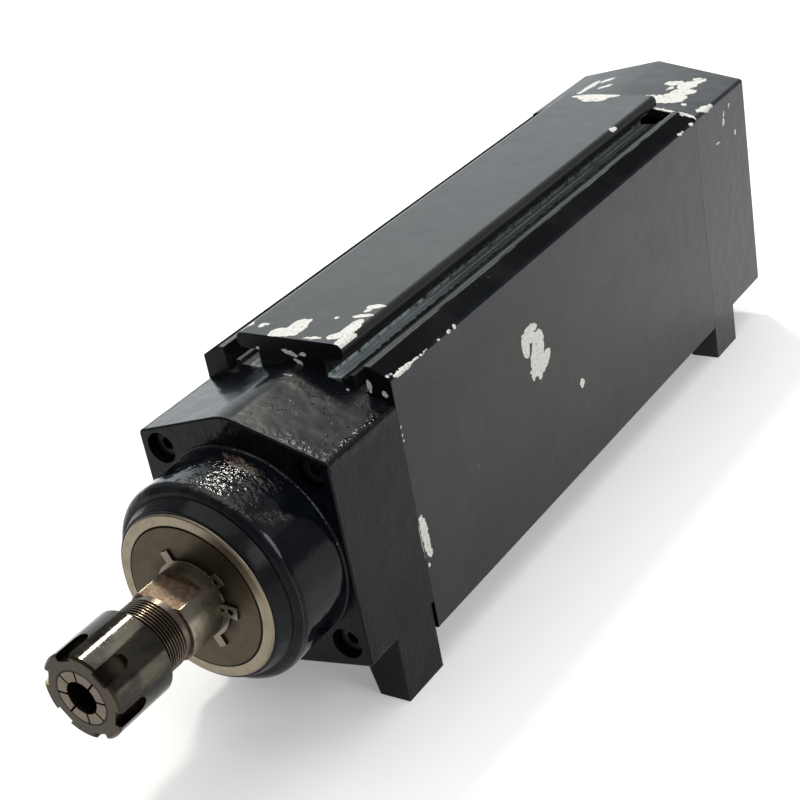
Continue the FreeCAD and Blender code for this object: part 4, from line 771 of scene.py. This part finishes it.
# The housing's paints: the way their faces look, their chips, and how strongly they reflect. The side, front
# and slope copies reflect less, a painted shade by face direction that darkens these faces.
HOUSING_PAINTS = (
    ("top", TOP_CHIPS + EDGE_CHIPS + LAND_CHIPS, 0.5),
    ("side", SIDE_CHIPS + EDGE_CHIPS + LAND_CHIPS, 0.30),
    ("front", FRONT_CHIPS + LAND_CHIPS, 0.10),
    ("slope", EDGE_CHIPS + LAND_CHIPS, 0.0),
)
WALL_INSIDE = 43.6
DULL_SHARE = 0.42

DISC_STEEL = (0.070, 0.056, 0.036)
DISC_TARNISH = (0.040, 0.031, 0.021)
CLIP_STEEL = (0.17, 0.15, 0.12)
SPINDLE_STEEL = (0.27, 0.245, 0.195)
THREAD_STEEL = (0.15, 0.124, 0.092)
COLLET_STEEL = (0.14, 0.112, 0.082)
SCREW_BLACK = (0.012, 0.013, 0.014)
GLAND_PLASTIC = (0.025, 0.025, 0.027)
SEAL_RUBBER = (0.014, 0.014, 0.014)
BEARING_STEEL = (0.55, 0.55, 0.56)
CAGE_BRASS = (0.60, 0.42, 0.17)
BARE_ALUMINIUM = (0.42, 0.42, 0.43)
SPRING_STEEL = (0.25, 0.24, 0.24)
CORE_SHEET = (0.17, 0.175, 0.19)
WINDING_RESIN = (0.30, 0.09, 0.03)
FAN_PLASTIC = (0.03, 0.03, 0.031)


class PaintSettings(bpy.types.PropertyGroup):
    cast_colour: FloatVectorProperty(
        name="Casting Paint", description="Gloss paint of the front flange", subtype="COLOR",
        size=3, min=0, max=1, default=(0.0026, 0.0034, 0.0050))
    paint_colour: FloatVectorProperty(
        name="Housing Paint", description="Semi-gloss paint of housing and cap", subtype="COLOR",
        size=3, min=0, max=1, default=(0.0070, 0.0076, 0.0084))
    undercoat_colour: FloatVectorProperty(
        name="Undercoat", description="Primer in the chips", subtype="COLOR",
        size=3, min=0, max=1, default=(0.68, 0.68, 0.645))
    gloss_level: FloatProperty(
        name="Gloss Level", description="Strength of the casting paint's reflections", subtype="FACTOR",
        min=0, max=1, default=0.32)


class SteelSettings(bpy.types.PropertyGroup):
    ring_colour: FloatVectorProperty(
        name="Ring Steel", description="Turned steel of the nose ring", subtype="COLOR",
        size=3, min=0, max=1, default=(0.264, 0.226, 0.166))
    nut_colour: FloatVectorProperty(
        name="Nut Steel", description="Burnished steel of the nut", subtype="COLOR",
        size=3, min=0, max=1, default=(0.072, 0.066, 0.051))
    tarnish_colour: FloatVectorProperty(
        name="Tarnish", description="Brown film on worn steel", subtype="COLOR",
        size=3, min=0, max=1, default=(0.066, 0.052, 0.036))


class ThreadSettings(bpy.types.PropertyGroup):
    thread_pitch: FloatProperty(
        name="Pitch", description="Rise of the thread in one turn", subtype="DISTANCE",
        unit="LENGTH", min=0.0005, default=0.0015)
    thread_root: FloatProperty(
        name="Root Radius", description="Radius at the bottom of the thread", subtype="DISTANCE",
        unit="LENGTH", min=0.001, default=0.0163)
    thread_crest: FloatProperty(
        name="Crest Radius", description="Radius at the top of the thread", subtype="DISTANCE",
        unit="LENGTH", min=0.001, default=0.01718)


class StageSettings(bpy.types.PropertyGroup):
    floor_colour: FloatVectorProperty(
        name="Floor", description="Colour of the studio floor", subtype="COLOR",
        size=3, min=0, max=1, default=(0.86, 0.86, 0.86))
    lens: FloatProperty(
        name="Lens", description="Focal length of the camera in millimetres", unit="CAMERA",
        min=1, default=74.9547)


class MotorOperator:
    """What the operators share: undo, and the paint and steel settings."""
    bl_options = {"REGISTER", "UNDO"}

    @property
    def paint(self):
        return bpy.context.scene.motor_paint

    @property
    def steel(self):
        return bpy.context.scene.motor_steel


class MOTOR_OT_front_flange(MotorOperator, bpy.types.Operator):
    """Dresses the front flange casting in thick gloss paint, duller on its lip, front and sides"""
    bl_idname = "motor.front_flange"
    bl_label = "Front Flange"

    def execute(self, context):
        gloss = self.paint.gloss_level
        glossy = cast_paint("cast_gloss_black", self.paint, gloss)
        # Painted shade by face direction: the dull copy reflects less, so the lip, the front faces and the
        # sides look darker.
        dull = cast_paint("cast_dull_black", self.paint, gloss * DULL_SHARE)
        piece = dress("front_flange", "front_flange_casting", glossy, "motor", "cast_paint",
                      limit=CAST_SMOOTH_LIMIT)
        piece.data.materials.append(dull)
        for face in piece.data.polygons:
            lip = face.center.y / MM - FLANGE_FACE < NOSE_LIP
            if lip or abs(face.normal.x) > 0.8 or face.normal.y < -0.7:
                face.material_index = 1
        return {"FINISHED"}


class MOTOR_OT_housing(MotorOperator, bpy.types.Operator):
    """Dresses the extruded housing in worn semi-gloss paint, in four materials by the way its faces look"""
    bl_idname = "motor.housing"
    bl_label = "Stator Housing"

    def execute(self, context):
        paints = [housing_paint(f"housing_charcoal_{facing}", self.paint, chips, gloss)
                  for facing, chips, gloss in HOUSING_PAINTS]
        piece = dress("stator_housing", "housing_extrusion", paints[0], "motor", "housing_paint", bevel=0.35)
        for paint in paints[1:]:
            piece.data.materials.append(paint)
        for face in piece.data.polygons:
            if abs(face.normal.x) > 0.9:
                face.material_index = 1
            elif face.normal.y < -0.9:
                face.material_index = 2
            elif abs(face.normal.x) > 0.3 and abs(face.center.x) / MM > WALL_INSIDE and face.normal.z > 0.3:
                face.material_index = 3
        return {"FINISHED"}


class MOTOR_OT_rear_cap(MotorOperator, bpy.types.Operator):
    """Dresses the rear cap casting in chipped semi-gloss paint"""
    bl_idname = "motor.rear_cap"
    bl_label = "Rear Cap"

    def execute(self, context):
        dress("rear_cap", "rear_cap_casting", cap_paint("cap_charcoal", self.paint), "motor", "cap_paint")
        return {"FINISHED"}


class MOTOR_OT_nose(MotorOperator, bpy.types.Operator):
    """Dresses the turned ring, the seal disc and the retaining ring on the nose"""
    bl_idname = "motor.nose"
    bl_label = "Nose Rings"

    def execute(self, context):
        ring = turned_steel("ring_steel", tuple(self.steel.ring_colour), tuple(self.steel.tarnish_colour),
                            0.34, amount=0.45)
        disc = turned_steel("disc_steel", DISC_STEEL, DISC_TARNISH, 0.38, hub=18.0)
        clip = plain_metal("clip_steel", CLIP_STEEL, 0.24)
        dress("nose_ring", "nose_ring_turned", ring, "motor", "machined_steel", bevel=0.15)
        dress("seal_disc", "seal_disc_turned", disc, "spindle", "machined_steel", bevel=0.15)
        dress("retaining_ring", "retaining_ring_stamped", clip, "spindle", "dark_screws", bevel=0.12)
        return {"FINISHED"}


class MOTOR_OT_spindle(MotorOperator, bpy.types.Operator):
    """Dresses the spindle shaft and cuts its thread"""
    bl_idname = "motor.spindle"
    bl_label = "Spindle Shaft"

    def execute(self, context):
        thread = context.scene.motor_thread
        brown = tuple(self.steel.tarnish_colour)
        worn = shaft_steel("spindle_steel", SPINDLE_STEEL, brown)
        oily = thread_steel("thread_steel", THREAD_STEEL, brown)
        shape = welded_copy("spindle_shaft")
        axis = spot(0.0, 0.0, 0.0)
        for corner in shape.verts:
            station = corner.co.y / MM - FLANGE_FACE
            out = Vector((corner.co.x - axis.x, 0.0, corner.co.z - axis.z))
            threaded = THREAD_START - THREAD_LEAD < station < THREAD_END + THREAD_SLACK
            if threaded and out.length > thread.thread_root:
                out *= thread.thread_root / out.length
                corner.co = Vector((axis.x + out.x, corner.co.y, axis.z + out.z))
        finished_piece("spindle_shaft_turned", shape, worn, "spindle", "machined_steel",
                       replaced=("spindle_shaft",))
        finished_piece("spindle_thread", cut_thread(thread), oily, "spindle", "machined_steel",
                       limit=THREAD_SMOOTH_LIMIT)
        return {"FINISHED"}


class MOTOR_OT_collet(MotorOperator, bpy.types.Operator):
    """Dresses the slit collet and its clamping nut"""
    bl_idname = "motor.collet"
    bl_label = "Collet and Nut"

    def execute(self, context):
        ground = turned_steel("collet_steel", COLLET_STEEL, tuple(self.steel.tarnish_colour), 0.30, 0.6)
        burnished = nut_steel("nut_burnished", tuple(self.steel.nut_colour))
        dress("collet", "collet_ground", ground, "collet", "collet_steel", bevel=0.15)
        dress("collet_nut", "collet_nut_burnished", burnished, "nut", "nut_steel", bevel=0.3)
        return {"FINISHED"}


class MOTOR_OT_screws(MotorOperator, bpy.types.Operator):
    """Dresses the socket head screws"""
    bl_idname = "motor.screws"
    bl_label = "Screws"

    def execute(self, context):
        black = plain_metal("screw_black", SCREW_BLACK, 0.38, 0.5, 2.0, 0.3)
        for node in ("flange_screws", "cap_screws", "shield_screws"):
            dress(node, f"{node}_blackened", black, "motor", "dark_screws", bevel=0.25)
        return {"FINISHED"}


class MOTOR_OT_gland(MotorOperator, bpy.types.Operator):
    """Dresses the cable gland in moulded plastic with a rubber seal"""
    bl_idname = "motor.gland"
    bl_label = "Cable Gland"

    def execute(self, context):
        plastic = moulded("gland_plastic", GLAND_PLASTIC, 0.42)
        rubber = moulded("seal_rubber", SEAL_RUBBER, 0.7)
        dress("gland_body", "gland_body_moulded", plastic, "motor", "gland_plastic", bevel=0.3)
        dress("gland_nut", "gland_nut_moulded", plastic, "motor", "gland_plastic", bevel=0.3)
        dress("gland_seal", "gland_seal_moulded", rubber, "motor", "seal_rubber", bevel=0.2)
        return {"FINISHED"}


class MOTOR_OT_inner_parts(MotorOperator, bpy.types.Operator):
    """Gives bearings, windings, rotor and fan their finishes"""
    bl_idname = "motor.inner_parts"
    bl_label = "Inner Parts"

    def execute(self, context):
        ground = plain_metal("bearing_steel", BEARING_STEEL, 0.2, 1.0, 3.0, 0.1)
        brass = plain_metal("cage_brass", CAGE_BRASS, 0.32, 1.0, 3.0, 0.15)
        alloy = plain_metal("bare_aluminium", BARE_ALUMINIUM, 0.42, 1.0, 4.0, 0.15)
        spring = plain_metal("spring_steel", SPRING_STEEL, 0.35)
        sheet = laminated("core_sheet", CORE_SHEET)
        resin = wound("winding_resin", WINDING_RESIN)
        black = moulded("fan_plastic", FAN_PLASTIC, 0.5)
        for prefix in ("front", "second", "rear"):
            for kind in ("inner_ring", "outer_ring", "balls"):
                paint_node(f"{prefix}_bearing_{kind}", ground)
            paint_node(f"{prefix}_bearing_cage", brass)
        for node, material in (("outer_spacer", ground), ("inner_spacer", ground), ("fan_key", ground),
                               ("wave_spring", spring), ("stator_core", sheet), ("rotor_core", sheet),
                               ("front_winding", resin), ("rear_winding", resin), ("rear_shield", alloy),
                               ("front_end_ring", alloy), ("rear_end_ring", alloy), ("cooling_fan", black),
                               ("fan_retaining_ring", spring)):
            paint_node(node, material)
        return {"FINISHED"}


# Lamps: name, shape, place, aim, width, height, watts and colour
LAMPS = (
    ("lamp_above", "ELLIPSE", (0.0, 0.0, 1.9), (0.0, 0.0, 0.0), 2.2, 2.2, 20.0, (1.0, 1.0, 1.0)),
    ("lamp_window", "RECTANGLE", (-1.4, 2.0, 0.86), (0.0, 0.0, 0.2), 2.9, 1.7, 16.5, (0.86, 0.96, 1.0)),
    ("lamp_key", "ELLIPSE", (-0.61, 0.74, 1.69), (0.0, -0.2, 0.09), 0.22, 0.22, 14.0, (1.0, 0.96, 0.86)),
    ("lamp_side", "ELLIPSE", (1.5, -0.2, 1.0), (0.0, 0.0, 0.1), 0.9, 0.9, 9.0, (1.0, 0.99, 0.97)),
)
WORLD_STRENGTH = 0.32
FLOOR_HALF_WIDTH = 30.0
FLOOR_LIFT = 0.25

# Where the camera stands, and the ways its right, its top and its back point
CAMERA_PLACE = (0.46448758, -0.67852111, 0.48024632)
CAMERA_RIGHT = (0.82532354, 0.53772147, -0.17232723)
CAMERA_TOP = (-0.12308975, 0.4691765, 0.87448403)
CAMERA_BACK = (0.55108073, -0.70052054, 0.45341041)
CAMERA_RANGE = 80.0


class MOTOR_OT_stage(MotorOperator, bpy.types.Operator):
    """Sets up the floor, the lamps and the camera"""
    bl_idname = "motor.stage"
    bl_label = "Studio Stage"

    def execute(self, context):
        scene = context.scene
        self.lay_floor(scene)
        self.light_world(scene)
        for lamp in LAMPS:
            self.hang_lamp(scene, *lamp)
        self.set_camera(scene)
        scene.view_settings.view_transform = "Standard"
        return {"FINISHED"}

    def lay_floor(self, scene):
        """A pale floor that looks a little brighter to the camera and in reflections than it is lit."""
        shape = bmesh.new()
        bmesh.ops.create_grid(shape, x_segments=1, y_segments=1, size=FLOOR_HALF_WIDTH)
        mesh = bpy.data.meshes.new("floor")
        shape.to_mesh(mesh)
        shape.free()
        floor = bpy.data.objects.new("floor", mesh)
        scene.collection.objects.link(floor)
        finish = Finish("floor_white", roughness=0.9, specular_ior_level=0.0, emission_strength=FLOOR_LIFT,
                        base_color=(*scene.motor_stage.floor_colour, 1.0))
        camera, glossy, through = finish.node(
            "ShaderNodeLightPath", outputs=("Is Camera Ray", "Is Glossy Ray", "Is Transmission Ray"))
        seen = camera.math("MAXIMUM", glossy).math("MAXIMUM", through)
        finish.feed(emission_color=finish.mix(seen, (0.0, 0.0, 0.0), (1.0, 1.0, 1.0)))
        mesh.materials.append(finish.material)

    def light_world(self, scene):
        world = bpy.data.worlds.new("studio")
        world.use_nodes = True
        sky = world.node_tree.nodes["Background"]
        sky.inputs["Color"].default_value = (1.0, 1.0, 1.0, 1.0)
        sky.inputs["Strength"].default_value = WORLD_STRENGTH
        scene.world = world

    def hang_lamp(self, scene, name, shape, place, aim, width, height, watts, colour):
        data = bpy.data.lights.new(name, "AREA")
        data.shape = shape
        data.size = width
        data.size_y = height
        data.energy = watts
        data.color = colour
        lamp = bpy.data.objects.new(name, data)
        beam = (Vector(aim) - Vector(place)).to_track_quat("-Z", "Y").to_matrix().to_4x4()
        lamp.matrix_world = Matrix.Translation(place) @ beam
        scene.collection.objects.link(lamp)

    def set_camera(self, scene):
        data = bpy.data.cameras.new("camera")
        data.lens = scene.motor_stage.lens
        data.sensor_width = 36.0
        data.clip_end = CAMERA_RANGE
        camera = bpy.data.objects.new("camera", data)
        turn = Matrix((CAMERA_RIGHT, CAMERA_TOP, CAMERA_BACK)).transposed().to_4x4()
        camera.matrix_world = Matrix.Translation(CAMERA_PLACE) @ turn
        scene.collection.objects.link(camera)
        scene.camera = camera


class MOTOR_PT_panel(bpy.types.Panel):
    """Lists the steps that dress the motor"""
    bl_idname = "MOTOR_PT_panel"
    bl_label = "Spindle Motor"
    bl_space_type = "VIEW_3D"
    bl_region_type = "UI"
    bl_category = "Spindle Motor"

    def draw(self, context):
        for group in SETTINGS:
            settings = getattr(context.scene, group)
            for name in settings.bl_rna.properties.keys():
                if name not in ("rna_type", "name"):
                    self.layout.prop(settings, name)
        for operator in OPERATORS:
            self.layout.operator(operator.bl_idname)


SETTINGS = {"motor_paint": PaintSettings, "motor_steel": SteelSettings, "motor_thread": ThreadSettings,
            "motor_stage": StageSettings}
OPERATORS = (MOTOR_OT_front_flange, MOTOR_OT_housing, MOTOR_OT_rear_cap, MOTOR_OT_nose, MOTOR_OT_spindle,
             MOTOR_OT_collet, MOTOR_OT_screws, MOTOR_OT_gland, MOTOR_OT_inner_parts, MOTOR_OT_stage)
CLASSES = (*SETTINGS.values(), *OPERATORS, MOTOR_PT_panel)


def register():
    for kind in CLASSES:
        bpy.utils.register_class(kind)
    for name, group in SETTINGS.items():
        setattr(bpy.types.Scene, name, PointerProperty(type=group))


def unregister():
    for name in SETTINGS:
        delattr(bpy.types.Scene, name)
    for kind in reversed(CLASSES):
        bpy.utils.unregister_class(kind)


def main():
    register()
    bpy.ops.motor.front_flange()
    bpy.ops.motor.housing()
    bpy.ops.motor.rear_cap()
    bpy.ops.motor.nose()
    bpy.ops.motor.spindle()
    bpy.ops.motor.collet()
    bpy.ops.motor.screws()
    bpy.ops.motor.gland()
    bpy.ops.motor.inner_parts()
    bpy.ops.motor.stage()


if __name__ == "__main__":
    main()
